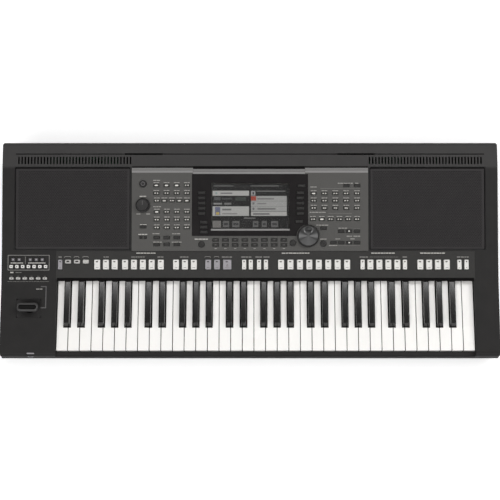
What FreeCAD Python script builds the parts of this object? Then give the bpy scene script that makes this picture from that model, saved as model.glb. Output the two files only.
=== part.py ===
import FreeCAD, Part
import Sketcher
import math
import os
import re
import types

V = FreeCAD.Vector
Turn = FreeCAD.Rotation
Place = FreeCAD.Placement

# Driving dimensions in millimetres. Heights count from the table, setbacks from the front edge of the case,
# runs along a sloping face from its lower edge, and x from the middle of the case.
SIZES = {
    # case shells
    "left_cheek_width": 113.4,
    "right_cheek_width": 50.6,
    "strip_depth": 67.0,
    "panel_depth": 168.0,
    "deck_depth": 51.0,
    "wall": 3.0,
    "overrun": 5.0,
    "seat_gap": 0.3,
    "case_bevel": 2.2,
    "front_band": 20.0,
    "skirt_height": 8.0,
    "under_front": 14.0,
    "under_rear": 8.0,
    "front_height": 66.0,
    "brow_setback": 6.0,
    "brow_rise": 10.0,
    "cheek_rise": 8.3,
    "strip_rise": 10.7,
    "panel_rise": 32.6,
    "deck_inset": 6.0,
    "deck_rise": 4.4,
    "rear_drop": 6.0,
    # feet and screws
    "foot_height": 6.0,
    "foot_radius": 11.0,
    "foot_inset": 70.0,
    "foot_setback": 45.0,
    "screw_inset": 11.0,
    "screw_boss_radius": 5.5,
    "screw_head_radius": 3.6,
    "screw_head_height": 2.4,
    "screw_radius": 1.8,
    "screw_length": 32.0,
    "screw_seat_drop": 18.0,
    "screw_gap": 0.05,
    # keys
    "white_pitch": 23.5,
    "key_gap": 1.0,
    "tail_gap": 3.0,
    "key_front_setback": 11.5,
    "key_length": 143.5,
    "black_front_run": 47.5,
    "shank_lap": 5.0,
    "tail_length": 40.0,
    "tail_end": 5.5,
    "key_height": 16.0,
    "key_wall": 2.0,
    "key_top_skin": 2.6,
    "pivot_rise": 5.5,
    "rod_radius": 2.0,
    "rod_gap": 0.05,
    "black_rise": 11.5,
    "black_base": 14.6,
    "black_top_width": 9.6,
    "black_nose": 7.0,
    "black_heel": 2.0,
    "key_dip": 10.0,
    "key_headroom": 2.0,
    "well_gap": 0.8,
    "strip_lead": 9.0,
    "rail_depth": 10.0,
    "rail_drop": 9.0,
    # keybed
    "bed_front": 26.0,
    "bed_tail": 12.0,
    "bed_sheet": 2.5,
    "bed_drop": 4.0,
    "rib_width": 1.5,
    "rib_reach": 7.0,
    "rib_top": 5.5,
    "felt_width": 10.0,
    "felt_front_run": 20.0,
    "felt_black_run": 56.0,
    "contact_run": 92.0,
    "contact_width": 42.0,
    "rubber_width": 14.0,
    "rubber_height": 5.0,
    "rubber_crown": 6.0,
    "board_sheet": 1.6,
    # button strip above the keys
    "strip_lap": 2.0,
    "strip_flange": 5.0,
    "strip_flange_sheet": 2.0,
    "strip_ledge": 1.2,
    "strip_board_run": 22.0,
    "strip_board_end": 11.85,
    "strip_post": 3.0,
    "strip_post_side": 6.0,
    "strip_button_run": 38.6,
    "strip_button_width": 12.8,
    "strip_button_length": 20.6,
    "strip_button_corner": 0.9,
    "strip_button_rise": 3.2,
    "narrow_button_width": 9.2,
    "wide_button_width": 18.0,
    "short_button_length": 8.4,
    "short_button_lead": 6.0,
    "button_root": 1.5,
    "button_gap": 0.3,
    # left block
    "note_width": 7.7,
    "note_length": 7.4,
    "note_rise": 1.8,
    "note_corner": 0.7,
    "note_low_run": 34.6,
    "note_high_run": 48.6,
    "memory_width": 8.9,
    "memory_length": 4.6,
    "memory_run": 10.4,
    # control panel
    "field_width": 122.5,
    "panel_sheet": 3.0,
    "panel_start": 1.0,
    "panel_ledge": 6.0,
    "panel_front_ledge": 3.0,
    "panel_bevel_run": 12.0,
    "panel_bevel_edge": 0.6,
    "panel_notch_left": 116.0,
    "panel_notch_right": 112.0,
    "panel_notch_run": 4.2,
    "panel_post": 4.0,
    "panel_post_side": 6.0,
    "panel_board_margin": 5.0,
    "pill_length": 11.5,
    "pill_width": 6.0,
    "pill_corner": 1.9,
    "panel_button_rise": 1.9,
    "function_length": 12.6,
    "function_width": 6.6,
    "function_corner": 1.2,
    "twin_length": 5.6,
    "side_length": 15.0,
    "side_width": 5.6,
    "value_length": 12.8,
    "value_width": 6.4,
    "round_radius": 6.6,
    "power_radius": 7.6,
    # display
    "bezel_width": 236.0,
    "bezel_low_run": 29.0,
    "bezel_high_run": 154.0,
    "bezel_sheet": 1.6,
    "window_side": 38.0,
    "window_low_run": 42.0,
    "window_high_run": 137.0,
    "window_ledge": 2.5,
    "window_shift": 1.0,
    "module_margin": 6.0,
    "module_depth": 7.0,
    # knobs
    "knob_radius": 14.8,
    "knob_height": 13.0,
    "knob_lift": 0.5,
    "knob_skirt": 3.0,
    "knob_grip_radius": 12.6,
    "knob_mark_width": 1.2,
    "knob_mark_depth": 0.6,
    "shaft_radius": 3.0,
    "shaft_gap": 0.05,
    "dial_radius": 22.3,
    "dial_height": 8.0,
    "dial_crown": 1.6,
    "dial_moat": 1.2,
    "dimple_radius": 6.0,
    "dimple_floor_radius": 4.4,
    "dimple_reach": 11.5,
    "dimple_depth": 2.2,
    # speakers
    "grille_side_rim": 26.0,
    "grille_panel_gap": 3.5,
    "grille_end": 1.53,
    "grille_gap": 1.0,
    "grille_start": 1.6,
    "grille_sheet": 2.4,
    "grille_round": 4.0,
    "baffle_lip": 3.6,
    "baffle_end_lip": 1.2,
    "baffle_sheet": 3.0,
    "box_inset": 9.0,
    "box_depth": 50.0,
    "woofer_side_gap": 0.5,
    "woofer_end_gap": 9.0,
    "unit_gap": 4.0,
    "woofer_rim": 8.0,
    "woofer_flange": 3.0,
    "woofer_basket_depth": 28.0,
    "magnet_depth": 15.0,
    "cone_gap": 2.0,
    "cone_depth": 21.0,
    "cone_sheet": 1.2,
    "cone_lip": 0.6,
    "tweeter_side_gap": 7.5,
    "tweeter_radius": 26.0,
    "tweeter_hole_radius": 18.5,
    "tweeter_body_radius": 20.0,
    "tweeter_depth": 18.0,
    "tweeter_dish": 4.0,
    "port_radius": 16.0,
    # joystick
    "stick_inset": 57.5,
    "stick_back": 50.2,
    "stick_well_width": 50.0,
    "stick_well_length": 38.0,
    "stick_well_depth": 9.0,
    "stick_house_rim": 3.0,
    "stick_house_depth": 24.0,
    "stick_pit_width": 40.0,
    "stick_pit_length": 34.0,
    "stick_pivot_depth": 15.0,
    "gimbal_width": 33.0,
    "gimbal_length": 28.0,
    "gimbal_height": 8.0,
    "gimbal_rail": 5.0,
    "pin_radius": 2.0,
    "pin_reach": 4.0,
    "pin_gap": 0.05,
    "lever_block": 12.0,
    "lever_neck_radius": 5.0,
    "lever_skirt_radius": 10.0,
    "lever_skirt_height": 7.0,
    "cap_width": 43.0,
    "cap_length": 20.0,
    "cap_height": 8.0,
    "cap_lift": 11.0,
    "cap_round": 6.0,
    "cap_groove_width": 37.0,
    "cap_groove_length": 9.0,
    "cap_groove_depth": 2.4,
    # rear deck
    "vent_pitch": 6.5,
    "vent_width": 3.0,
    "vent_length": 15.0,
    "vent_run": 12.2,
    "vent_shift": 4.0,
    "groove_run": 25.5,
    "groove_width": 2.0,
    "groove_depth": 1.2,
    "groove_inset": 27.0,
    "rest_slot_length": 78.0,
    "rest_slot_width": 3.4,
    "rest_slot_x": 217.0,
    # boards and rear sockets
    "socket_lift": 4.0,
    "board_back_gap": 1.0,
    "main_board_width": 560.0,
    "main_board_depth": 80.0,
    "main_board_inset": 63.0,
    "power_board_width": 150.0,
    "board_post": 8.0,
    "board_post_inset": 12.0,
    "jack_width": 16.0,
    "jack_height": 14.0,
    "jack_depth": 27.0,
    "jack_bore_radius": 3.2,
    "jack_bore_depth": 23.0,
    "jack_pitch": 24.0,
    "jack_inset": 127.0,
    "socket_recess": 0.5,
    "midi_width": 19.0,
    "midi_height": 19.0,
    "midi_depth": 16.0,
    "midi_bore_radius": 6.7,
    "midi_bore_depth": 10.0,
    "midi_inset": 307.0,
    "midi_pitch": 26.0,
    "usb_host_inset": 261.0,
    "usb_host_width": 12.4,
    "usb_host_height": 11.4,
    "usb_stick_inset": 235.0,
    "usb_stick_width": 15.0,
    "usb_stick_height": 8.0,
    "usb_depth": 16.0,
    "usb_rim": 1.2,
    "usb_bore_depth": 11.0,
    "inlet_inset": 155.0,
    "inlet_width": 12.0,
    "inlet_height": 12.0,
    "inlet_depth": 16.0,
    "inlet_bore_radius": 2.8,
    "inlet_bore_depth": 10.0,
    "phones_inset": 60.3,
    "phones_lift": 2.5,
    "sink_width": 150.0,
    "sink_depth": 34.0,
    "sink_height": 32.0,
    "sink_base": 5.0,
    "sink_fin": 2.0,
    "sink_inset": 33.0,
    "sink_back": 40.0,
}

WHITE_KEYS = 36
OCTAVES = 5
FIN_COUNT = 10
VENT_COUNT = 36
JACK_COUNT = 5
MIDI_COUNT = 2
BOSS_SIDES = 8
GRIP_SIDES = 24

# Parts of a woofer as shares of its radius
neck_share = 0.57
magnet_share = 0.64
coil_share = 0.25

# Sizes that follow from the driving ones
LAYOUT = {
    "case_width": f"left_cheek_width + {WHITE_KEYS} * white_pitch + right_cheek_width",
    "well_back": "key_front_setback + key_length",
    "break_setback": "well_back - strip_lead",
    "panel_foot_setback": "break_setback + strip_depth",
    "panel_head_setback": "panel_foot_setback + panel_depth",
    "case_depth": "panel_head_setback + deck_depth",
    "seam_height": "front_height - front_band",
    "brow_height": "front_height + brow_rise",
    "break_height": "brow_height + cheek_rise",
    "panel_foot_height": "break_height + strip_rise",
    "panel_head_height": "panel_foot_height + panel_rise",
    "deck_height": "panel_head_height + deck_rise",
    "cheek_run": "hypot(break_setback - brow_setback; cheek_rise)",
    "strip_run": "hypot(strip_depth; strip_rise)",
    "panel_run": "hypot(panel_depth; panel_rise)",
    "key_left": "left_cheek_width - case_width / 2",
    "key_right": "case_width / 2 - right_cheek_width",
    "shank_run": "key_length + shank_lap",
    "pivot_run": "shank_run + tail_length",
    "bed_back": "key_front_setback + pivot_run + bed_tail",
    "strip_board_width": "strip_run - strip_board_run - strip_board_end",
    "panel_width": "bezel_width + 2 * field_width",
    "window_width": "bezel_width - 2 * window_side",
    "grille_width": "(case_width - panel_width) / 2 - grille_side_rim - grille_panel_gap",
    "grille_centre": "case_width / 2 - grille_side_rim - grille_width / 2",
    "grille_run": "panel_run - grille_start - grille_end",
    "box_wall": "box_inset + wall",
    "woofer_end_reach": "grille_run / 2 - box_wall - woofer_end_gap",
    "units_room": "grille_width - 2 * box_wall - woofer_side_gap - unit_gap - tweeter_side_gap",
    "woofer_radius": "min(woofer_end_reach; units_room / 2 - tweeter_radius)",
    "woofer_hole_radius": "woofer_radius - woofer_rim",
    "woofer_neck_radius": f"{neck_share} * woofer_radius",
    "magnet_radius": f"{magnet_share} * woofer_radius",
    "coil_radius": f"{coil_share} * woofer_radius",
    "cone_radius": "woofer_hole_radius - cone_gap",
    "woofer_offset": "grille_width / 2 - box_wall - woofer_side_gap - woofer_radius",
    "tweeter_offset": "grille_width / 2 - box_wall - tweeter_side_gap - tweeter_radius",
    "stick_x": "stick_inset - case_width / 2",
    "stick_run": "cheek_run - stick_back",
    "groove_length": "case_width - 2 * groove_inset",
    "main_board_x": "(case_width - main_board_width) / 2 - main_board_inset",
    "jack_x": "case_width / 2 - jack_inset",
    "midi_x": "case_width / 2 - midi_inset",
    "usb_host_x": "case_width / 2 - usb_host_inset",
    "usb_stick_x": "case_width / 2 - usb_stick_inset",
    "inlet_x": "inlet_inset - case_width / 2",
    "phones_x": "phones_inset - case_width / 2",
    "phones_height": "seam_height + phones_lift",
    "screw_seat": "seam_height - screw_seat_drop",
    "sink_left": "main_board_x - main_board_width / 2 + sink_inset",
}

doc = FreeCAD.newDocument("arranger_keyboard")
sheet = doc.addObject("Spreadsheet::Sheet", "dim")
for row, (alias, number) in enumerate(SIZES.items(), start=1):
    sheet.set(f"A{row}", alias)
    sheet.set(f"B{row}", str(number))
    sheet.setAlias(f"B{row}", alias)
NODES = {}


def cells(rule):
    """Point each name in a rule at its cell of the sheet or at its value in the layout."""
    def owner(word):
        return "dim." if word in SIZES else "layout." if word in LAYOUT else ""
    return re.sub(r"[a-z][a-z_0-9]*", lambda word: owner(word[0]) + word[0], rule)


def driven(rule):
    """A rule with each derived size in it written out in driving ones."""
    def spelled(word):
        return f"({driven(LAYOUT[word])})" if word in LAYOUT else word
    return re.sub(r"[a-z][a-z_0-9]*", lambda word: spelled(word[0]), rule)


layout = doc.addObject("App::VarSet", "layout")
for name, rule in LAYOUT.items():
    layout.addProperty("App::PropertyFloat", name)
    layout.setExpression(name, cells(driven(rule)))
doc.recompute()
d = types.SimpleNamespace(**{alias: float(sheet.get(alias)) for alias in SIZES},
                          **{name: getattr(layout, name) for name in LAYOUT})


def bind(thing, rules):
    for path, rule in rules.items():
        thing.setExpression(path, cells(rule))


def seat(thing, at):
    bind(thing, {f".Placement.Base.{axis}": rule for axis, rule in zip("xyz", at)})


def box(name, size, at):
    block = doc.addObject("Part::Box", name)
    bind(block, dict(zip(("Length", "Width", "Height"), size)))
    seat(block, at)
    return block


AXIS_TURNS = {"x": Turn(V(0, 1, 0), 90), "y": Turn(V(1, 0, 0), -90), "z": Turn()}


def cylinder(name, radius, height, at, along="z"):
    rod = doc.addObject("Part::Cylinder", name)
    bind(rod, {"Radius": radius, "Height": height})
    rod.Placement = Place(V(), AXIS_TURNS[along])
    seat(rod, at)
    return rod


def post(name, sides, radius, height, at):
    """An upright prism with equal sides, as wide across its corners as the radius says."""
    block = doc.addObject("Part::Prism", name)
    block.Polygon = sides
    bind(block, {"Circumradius": radius, "Height": height})
    seat(block, at)
    return block


def sketch(body, name, plane, outline):
    """A closed outline of straight edges on one of the body's own planes, every corner tied to its rules."""
    drawing = body.newObject("Sketcher::SketchObject", name)
    face = next(origin for origin in body.Origin.OriginFeatures if origin.Role == plane + "_Plane")
    drawing.AttachmentSupport = [(face, "")]
    drawing.MapMode = "FlatFace"
    count = len(outline)
    turns = [V(math.cos(step), math.sin(step), 0) for step in (2 * math.pi * i / count for i in range(count))]
    for i in range(count):
        drawing.addGeometry(Part.LineSegment(turns[i], turns[(i + 1) % count]))
    for i, corner in enumerate(outline):
        drawing.addConstraint(Sketcher.Constraint("Coincident", i, 2, (i + 1) % count, 1))
        for kind, rule in zip(("DistanceX", "DistanceY"), corner):
            tie = drawing.addConstraint(Sketcher.Constraint(kind, -1, 1, i, 1, 1.0))
            drawing.setExpression(f"Constraints[{tie}]", cells(rule))
    return drawing


def pad(body, name, profile, length, symmetric=False):
    feature = body.newObject("PartDesign::Pad", name)
    feature.Profile = profile
    feature.SideType = "Symmetric" if symmetric else "One side"
    bind(feature, {"Length": length})
    return feature


def pocket(body, name, profile, length, symmetric=False, upward=False):
    feature = body.newObject("PartDesign::Pocket", name)
    feature.Profile = profile
    feature.SideType = "Symmetric" if symmetric else "One side"
    feature.Reversed = upward
    bind(feature, {"Length": length})
    return feature


def prism(name, plane, outline, length, symmetric=False):
    body = doc.addObject("PartDesign::Body", name)
    pad(body, name + "_pad", sketch(body, name + "_outline", plane, outline), length, symmetric)
    return body


def lathe(name, outline):
    """Turn an outline of (radius, height) corners once round the upright axis."""
    body = doc.addObject("PartDesign::Body", name)
    profile = sketch(body, name + "_outline", "XZ", outline)
    feature = body.newObject("PartDesign::Revolution", name + "_turn")
    feature.Profile = profile
    feature.ReferenceAxis = (profile, ["V_Axis"])
    feature.Angle = 360
    return body


def cap(name, length, width, corner, height):
    """An upright block with its four corners cut, centred on its foot."""
    x, y = f"({length}) / 2", f"({width}) / 2"
    outline = []
    for sx, sy, x_first in ((1, -1, True), (1, 1, False), (-1, 1, True), (-1, -1, False)):
        sides = [(f"{sx} * ({x} - {corner})", f"{sy} * {y}"), (f"{sx} * {x}", f"{sy} * ({y} - {corner})")]
        outline += sides if x_first else sides[::-1]
    return prism(name, "XY", outline, height)


def clearance_hole(name, length, width, depth):
    """The space of a button and the gap round it, centred on its foot."""
    return box(name, (f"{length} + 2 * button_gap", f"{width} + 2 * button_gap", depth),
               (f"-({length}) / 2 - button_gap", f"-({width}) / 2 - button_gap", "0"))


def round_slab(name, length, width, height, radius):
    """A flat plate, centred on its foot, with its upright edges rounded."""
    x, y = f"({length}) / 2", f"({width}) / 2"
    body = prism(name, "XY", [(f"-{x}", f"-{y}"), (x, f"-{y}"), (x, y), (f"-{x}", y)], height)
    doc.recompute()
    block = body.Tip
    upright = [f"Edge{i}" for i, edge in enumerate(block.Shape.Edges, start=1) if edge.BoundBox.ZLength > 0]
    rounding = body.newObject("PartDesign::Fillet", name + "_round")
    rounding.Base = (block, upright)
    bind(rounding, {"Radius": radius})
    return body


def fuse(name, things):
    whole = doc.addObject("Part::MultiFuse", name)
    whole.Shapes = things
    whole.Refine = True
    return whole


def group(name, things):
    bundle = doc.addObject("Part::Compound", name)
    bundle.Links = things
    return bundle


def cut(name, base, tool):
    rest = doc.addObject("Part::Cut", name)
    rest.Base = base
    rest.Tool = tool
    rest.Refine = True
    return rest


def common(name, base, tool):
    shared = doc.addObject("Part::Common", name)
    shared.Base = base
    shared.Tool = tool
    return shared


def copies(name, master, spots):
    """One feature with a copy of the master's solid at each spot."""
    doc.recompute()
    feature = doc.addObject("Part::Feature", name)
    solids = []
    for spot in spots:
        solid = master.Shape.copy()
        solid.translate(V(*spot))
        solids.append(solid)
    feature.Shape = Part.makeCompound(solids)
    return feature


def bundle_of(name, features):
    """One feature that holds the solids of several."""
    doc.recompute()
    feature = doc.addObject("Part::Feature", name)
    feature.Shape = Part.makeCompound([solid for part in features for solid in part.Shape.Solids])
    return feature


def keep(name, thing, place=None):
    """Name a sub-part and, where it lies on a sloping face, set it there."""
    if place is not None:
        thing.Placement = place
    thing.Label = name
    NODES[name] = thing
    return thing


def slope(foot_setback, foot_height, head_setback, head_height):
    """The frame of a sloping face of the case: origin at mid width on its lower edge, y up the slope."""
    tilt = math.degrees(math.atan2(head_height - foot_height, head_setback - foot_setback))
    return Place(V(0, foot_setback - d.case_depth / 2, foot_height), Turn(V(1, 0, 0), tilt))


CHEEK = slope(d.brow_setback, d.brow_height, d.break_setback, d.break_height)
STRIP = slope(d.break_setback, d.break_height, d.panel_foot_setback, d.panel_foot_height)
PANEL = slope(d.panel_foot_setback, d.panel_foot_height, d.panel_head_setback, d.panel_head_height)
DECK = slope(d.panel_head_setback, d.panel_head_height, d.case_depth - d.deck_inset, d.deck_height)

# Rules that several pieces share
FRONT = "-case_depth / 2"
WELL_LEFT = f"(key_left - well_gap)"
WELL_RIGHT = f"(key_right + well_gap)"
STRIP_FRONT_HEIGHT = "(break_height + strip_lead * strip_rise / strip_depth)"
STRIP_FRONT_RUN = "(strip_lead / strip_depth * strip_run)"
KEY_TOP = f"({STRIP_FRONT_HEIGHT} - wall - key_headroom - black_rise)"
KEY_FOOT = f"({KEY_TOP} - key_height)"
RAIL_TOP = f"({KEY_TOP} - rail_drop)"
BED_TOP = f"({KEY_FOOT} - key_dip - bed_drop)"
HEAD_RUN = "(black_front_run - key_gap)"
FLOOR = "(foot_height + wall)"
SOCKET_FOOT = "(seam_height + socket_lift)"
key_span = d.key_right - d.key_left


def spread(rows):
    """The even places of each row, given as (count, first x, last x, first y, last y)."""
    for count, x_first, x_last, y_first, y_last in rows:
        for step in range(count):
            share = step / max(count - 1, 1)
            yield x_first + (x_last - x_first) * share, y_first + (y_last - y_first) * share


# Stretches of the panel across its width: start and span of each, from the middle outwards or inwards
half_bezel = d.bezel_width / 2
PANEL_STRETCHES = {"left": (-half_bezel, -d.field_width), "right": (half_bezel, d.field_width),
                   "left_band": (-half_bezel, d.window_side), "right_band": (half_bezel, -d.window_side),
                   "bezel": (0, d.bezel_width)}


def panel_spots(row_shares, height):
    spots = []
    for stretch, *row in row_shares:
        start, span = PANEL_STRETCHES[stretch]
        spots += [(start + x * span, y * d.panel_run, height) for x, y in spread([row])]
    return spots


def strip_spots(run_shares, run, height):
    rows = [(count, first, last, run, run) for count, first, last in run_shares]
    return [(d.key_left + x * key_span, y, height) for x, y in spread(rows)]


def block_spots(run_shares, run, height):
    rows = [(count, first, last, run, run) for count, first, last in run_shares]
    return [(x * d.left_cheek_width - d.case_width / 2, y, height) for x, y in spread(rows)]


# Places of the buttons on the panel, as shares of a stretch of its width and of its run from the foot
style_select_shares = [
    ("left", 4, 0.592, 0.085, 0.770, 0.770),
    ("left", 4, 0.592, 0.085, 0.677, 0.677),
    ("left", 5, 0.584, 0.085, 0.588, 0.588),
    ("left", 4, 0.584, 0.085, 0.454, 0.454),
    ("left", 4, 0.584, 0.085, 0.361, 0.361),
    ("left", 4, 0.584, 0.085, 0.268, 0.268),
]
left_function_shares = [
    ("left", 3, 0.584, 0.250, 0.149, 0.149),
    ("left", 3, 0.584, 0.250, 0.068, 0.068),
    ("left", 1, 0.812, 0.812, 0.280, 0.280),
]
left_twin_shares = [("left", 2, 0.845, 0.774, 0.153, 0.153)]
voice_select_shares = [
    ("right", 5, 0.093, 0.814, 0.674, 0.674),
    ("right", 5, 0.093, 0.814, 0.588, 0.588),
    ("right", 5, 0.093, 0.814, 0.500, 0.500),
    ("right", 6, 0.081, 0.815, 0.367, 0.367),
]
right_function_shares = [
    ("right", 2, 0.641, 0.819, 0.770, 0.770),
    ("right", 1, 0.256, 0.256, 0.261, 0.261),
    ("right", 3, 0.551, 0.811, 0.225, 0.225),
    ("right", 4, 0.423, 0.811, 0.0895, 0.0895),
]
display_side_shares = [
    ("left_band", 5, 0.529, 0.529, 0.683, 0.4355),
    ("right_band", 5, 0.416, 0.416, 0.683, 0.4355),
    ("left_band", 3, 0.637, 0.637, 0.3326, 0.2157),
    ("right_band", 1, 0.350, 0.350, 0.766, 0.766),
    ("right_band", 1, 0.476, 0.476, 0.341, 0.341),
]
display_value_shares = [
    ("bezel", 8, -0.2955, 0.2919, 0.122, 0.122),
    ("bezel", 8, -0.2955, 0.2919, 0.0625, 0.0625),
]
display_round_shares = [
    ("bezel", 1, -0.417, -0.417, 0.0690, 0.0690),
    ("bezel", 1, 0.3695, 0.3695, 0.0847, 0.0847),
    ("right", 1, 0.2547, 0.2547, 0.0790, 0.0790),
]
power_shares = [("left", 1, 0.8155, 0.8155, 0.789, 0.789)]
knob_shares = [("left", 1, 0.8155, 0.8155, 0.533, 0.533)]
dial_shares = [("right", 1, 0.0015, 0.0015, 0.1666, 0.1666)]
panel_post_shares = [
    ("left", 3, 0.725, 0.391, 0.20, 0.20),
    ("right", 3, 0.391, 0.725, 0.43, 0.43),
    ("left", 1, 0.254, 0.254, 0.85, 0.85),
    ("right", 1, 0.332, 0.332, 0.85, 0.85),
]

# Places of the buttons on the strip, as shares of the keys' span from its left end
style_shares = [(3, 0.0962, 0.1381), (4, 0.1631, 0.2270), (1, 0.2488, 0.2488), (3, 0.2853, 0.3282)]
grey_tall_shares = [(1, 0.0073, 0.0073)]
grey_short_shares = [(3, 0.0262, 0.0688)]
grey_plain_shares = [(2, 0.3626, 0.3837)]
grey_wide_shares = [(1, 0.4083, 0.4083)]
narrow_shares = [(2, 0.4487, 0.4648), (2, 0.4845, 0.5011), (2, 0.9655, 0.9824)]
registration_shares = [(8, 0.5374, 0.6959)]
part_shares = [(4, 0.7518, 0.8164)]
part_narrow_shares = [(1, 0.7331, 0.7331), (1, 0.8347, 0.8347)]
one_touch_shares = [(4, 0.8716, 0.9351)]
strip_post_shares = [(1, 0.0825, 0.0825), (1, 0.267, 0.267), (1, 0.428, 0.428), (1, 0.519, 0.519),
                     (1, 0.715, 0.715), (1, 0.853, 0.853), (1, 0.95, 0.95)]

# Places of the buttons of the left block, as shares of the left cheek's width
note_low_shares = [(7, 0.176, 0.791)]
note_high_shares = [(2, 0.210, 0.319), (3, 0.5185, 0.7328)]
memory_shares = [(6, 0.184, 0.782)]

# Screw bosses along each side and places of the rear vents
screw_depth_shares = (0.07, 0.28, 0.69, 0.962)

screw_spots = [(side * (d.case_width / 2 - d.screw_inset), (share - 0.5) * d.case_depth, 0.0)
               for side in (-1, 1) for share in screw_depth_shares]

# Lower case: a tray with an undercut skirt, screw bosses and posts under the boards
tray = doc.addObject("PartDesign::Body", "tray")
TRAY_SKIRT = "seam_height - skirt_height"
pad(tray, "tray_pad", sketch(tray, "tray_outline", "YZ", [
    ("0", "seam_height"), ("0", TRAY_SKIRT), ("under_front", "foot_height"),
    ("case_depth - under_rear", "foot_height"), ("case_depth", TRAY_SKIRT), ("case_depth", "seam_height")]),
    "case_width", symmetric=True)
pocket(tray, "tray_hollow", sketch(tray, "tray_hollow_outline", "YZ", [
    ("wall", "seam_height + overrun"), ("wall", TRAY_SKIRT), ("under_front + wall", FLOOR),
    ("case_depth - under_rear - wall", FLOOR), ("case_depth - wall", TRAY_SKIRT),
    ("case_depth - wall", "seam_height + overrun")]), "case_width - 2 * wall", symmetric=True)
seat(tray, ("0", FRONT, "0"))

lower_boss = post("lower_boss", BOSS_SIDES, "screw_boss_radius", "seam_height - foot_height",
                  ("0", "0", "foot_height"))
lower_bosses = copies("lower_bosses", lower_boss, screw_spots)
BOARD_BACK = "(case_depth / 2 - wall - board_back_gap)"
board_post = box("board_post_block", ("board_post", "board_post", f"{SOCKET_FOOT} - board_sheet - {FLOOR}"),
                 ("-board_post / 2", "-board_post / 2", FLOOR))


def board_corners(centre, width):
    back = d.case_depth / 2 - d.wall - d.board_back_gap - d.board_post_inset
    front = back - d.main_board_depth + 2 * d.board_post_inset
    half = width / 2 - d.board_post_inset
    return [(centre + side * half, y, 0.0) for side in (-1, 1) for y in (front, back)]


board_posts = copies("board_posts", board_post, board_corners(d.main_board_x, d.main_board_width)
                     + board_corners(d.inlet_x, d.power_board_width))
sink_hole = post("sink_hole", BOSS_SIDES, "screw_head_radius + seat_gap",
                 "screw_seat - foot_height + overrun", ("0", "0", "foot_height - overrun"))
thread_hole = post("thread_hole", BOSS_SIDES, "screw_radius + screw_gap", "screw_length + overrun",
                   ("0", "0", "screw_seat - screw_gap"))
screw_bore = fuse("screw_bore", [sink_hole, thread_hole])
screw_bores = copies("screw_bores", screw_bore, screw_spots)
tray_whole = fuse("tray_whole", [tray, lower_bosses, board_posts])
keep("lower_case", cut("lower_case", tray_whole, screw_bores))

screw_head = post("screw_head", BOSS_SIDES, "screw_head_radius", "screw_head_height",
                  ("0", "0", "screw_seat - screw_head_height"))
screw_shank = post("screw_shank", BOSS_SIDES, "screw_radius", "screw_length", ("0", "0", "screw_seat"))
screw = fuse("case_screw", [screw_head, screw_shank])
keep("case_screws", copies("case_screws", screw, screw_spots))

foot = cylinder("rubber_foot", "foot_radius", "foot_height", ("0", "0", "0"))
keep("rubber_feet", copies("rubber_feet", foot, [
    (sx * (d.case_width / 2 - d.foot_inset), sy * (d.case_depth / 2 - d.foot_setback), 0.0)
    for sx in (-1, 1) for sy in (-1, 1)]))

# Upper case: one moulded shell, its side outline carried across the width
shell = prism("shell", "YZ", [
    ("0", "seam_height"), ("0", "front_height"), ("brow_setback", "brow_height"),
    ("break_setback", "break_height"), ("panel_foot_setback", "panel_foot_height"),
    ("panel_head_setback", "panel_head_height"),
    ("case_depth - deck_inset", "deck_height"), ("case_depth", "deck_height - rear_drop"),
    ("case_depth", "seam_height")], "case_width", symmetric=True)
doc.recompute()


def bevelled_edges(solid):
    """The edges above the seam that run along a side, or across the front brow and the rear corner."""
    chosen = []
    for i, edge in enumerate(solid.Edges, start=1):
        reach = edge.BoundBox
        across = reach.XLength > 0
        outer = reach.YMin < d.break_setback / 2 or reach.YMin > d.panel_head_setback
        if reach.ZMax > d.seam_height and (outer or not across):
            chosen.append(f"Edge{i}")
    return chosen


block = shell.Tip
edges = bevelled_edges(block.Shape)
shell_bevel = shell.newObject("PartDesign::Chamfer", "shell_bevel")
shell_bevel.Base = (block, edges)
bind(shell_bevel, {"Size": "case_bevel"})
seat(shell, ("0", FRONT, "0"))

hollow = prism("shell_hollow", "YZ", [
    ("wall", "seam_height - overrun"), ("wall", "front_height - wall"),
    ("brow_setback + wall", "brow_height - wall"), ("break_setback", "break_height - wall"),
    ("panel_foot_setback", "panel_foot_height - wall"), ("panel_head_setback", "panel_head_height - wall"),
    ("case_depth - deck_inset - wall", "deck_height - wall"),
    ("case_depth - wall", "deck_height - rear_drop - wall"), ("case_depth - wall", "seam_height - overrun")],
    "case_width - 2 * wall", symmetric=True)
seat(hollow, ("0", FRONT, "0"))
skin = cut("shell_skin", shell, hollow)

# Inner walls of the cheeks, the top of the front rail and the upper screw bosses
well_sides = [box(name, ("wall", "well_back", "deck_height"), (x, FRONT, "seam_height"))
              for name, x in (("well_left_wall", f"{WELL_LEFT} - wall"), ("well_right_wall", WELL_RIGHT))]
rail = box("front_rail", (f"{WELL_RIGHT} - {WELL_LEFT} + 2 * wall", "rail_depth", "wall"),
           (f"{WELL_LEFT} - wall", FRONT, f"{RAIL_TOP} - wall"))
upper_boss = post("upper_boss", BOSS_SIDES, "screw_boss_radius", "deck_height", ("0", "0", "seam_height"))
upper_bosses = copies("upper_bosses", upper_boss, screw_spots)
ribs = fuse("shell_ribs", well_sides + [rail])
inner = common("shell_inner", shell, group("shell_inner_parts", [ribs, upper_bosses]))
shell_whole = fuse("shell_whole", [skin, inner])

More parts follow.
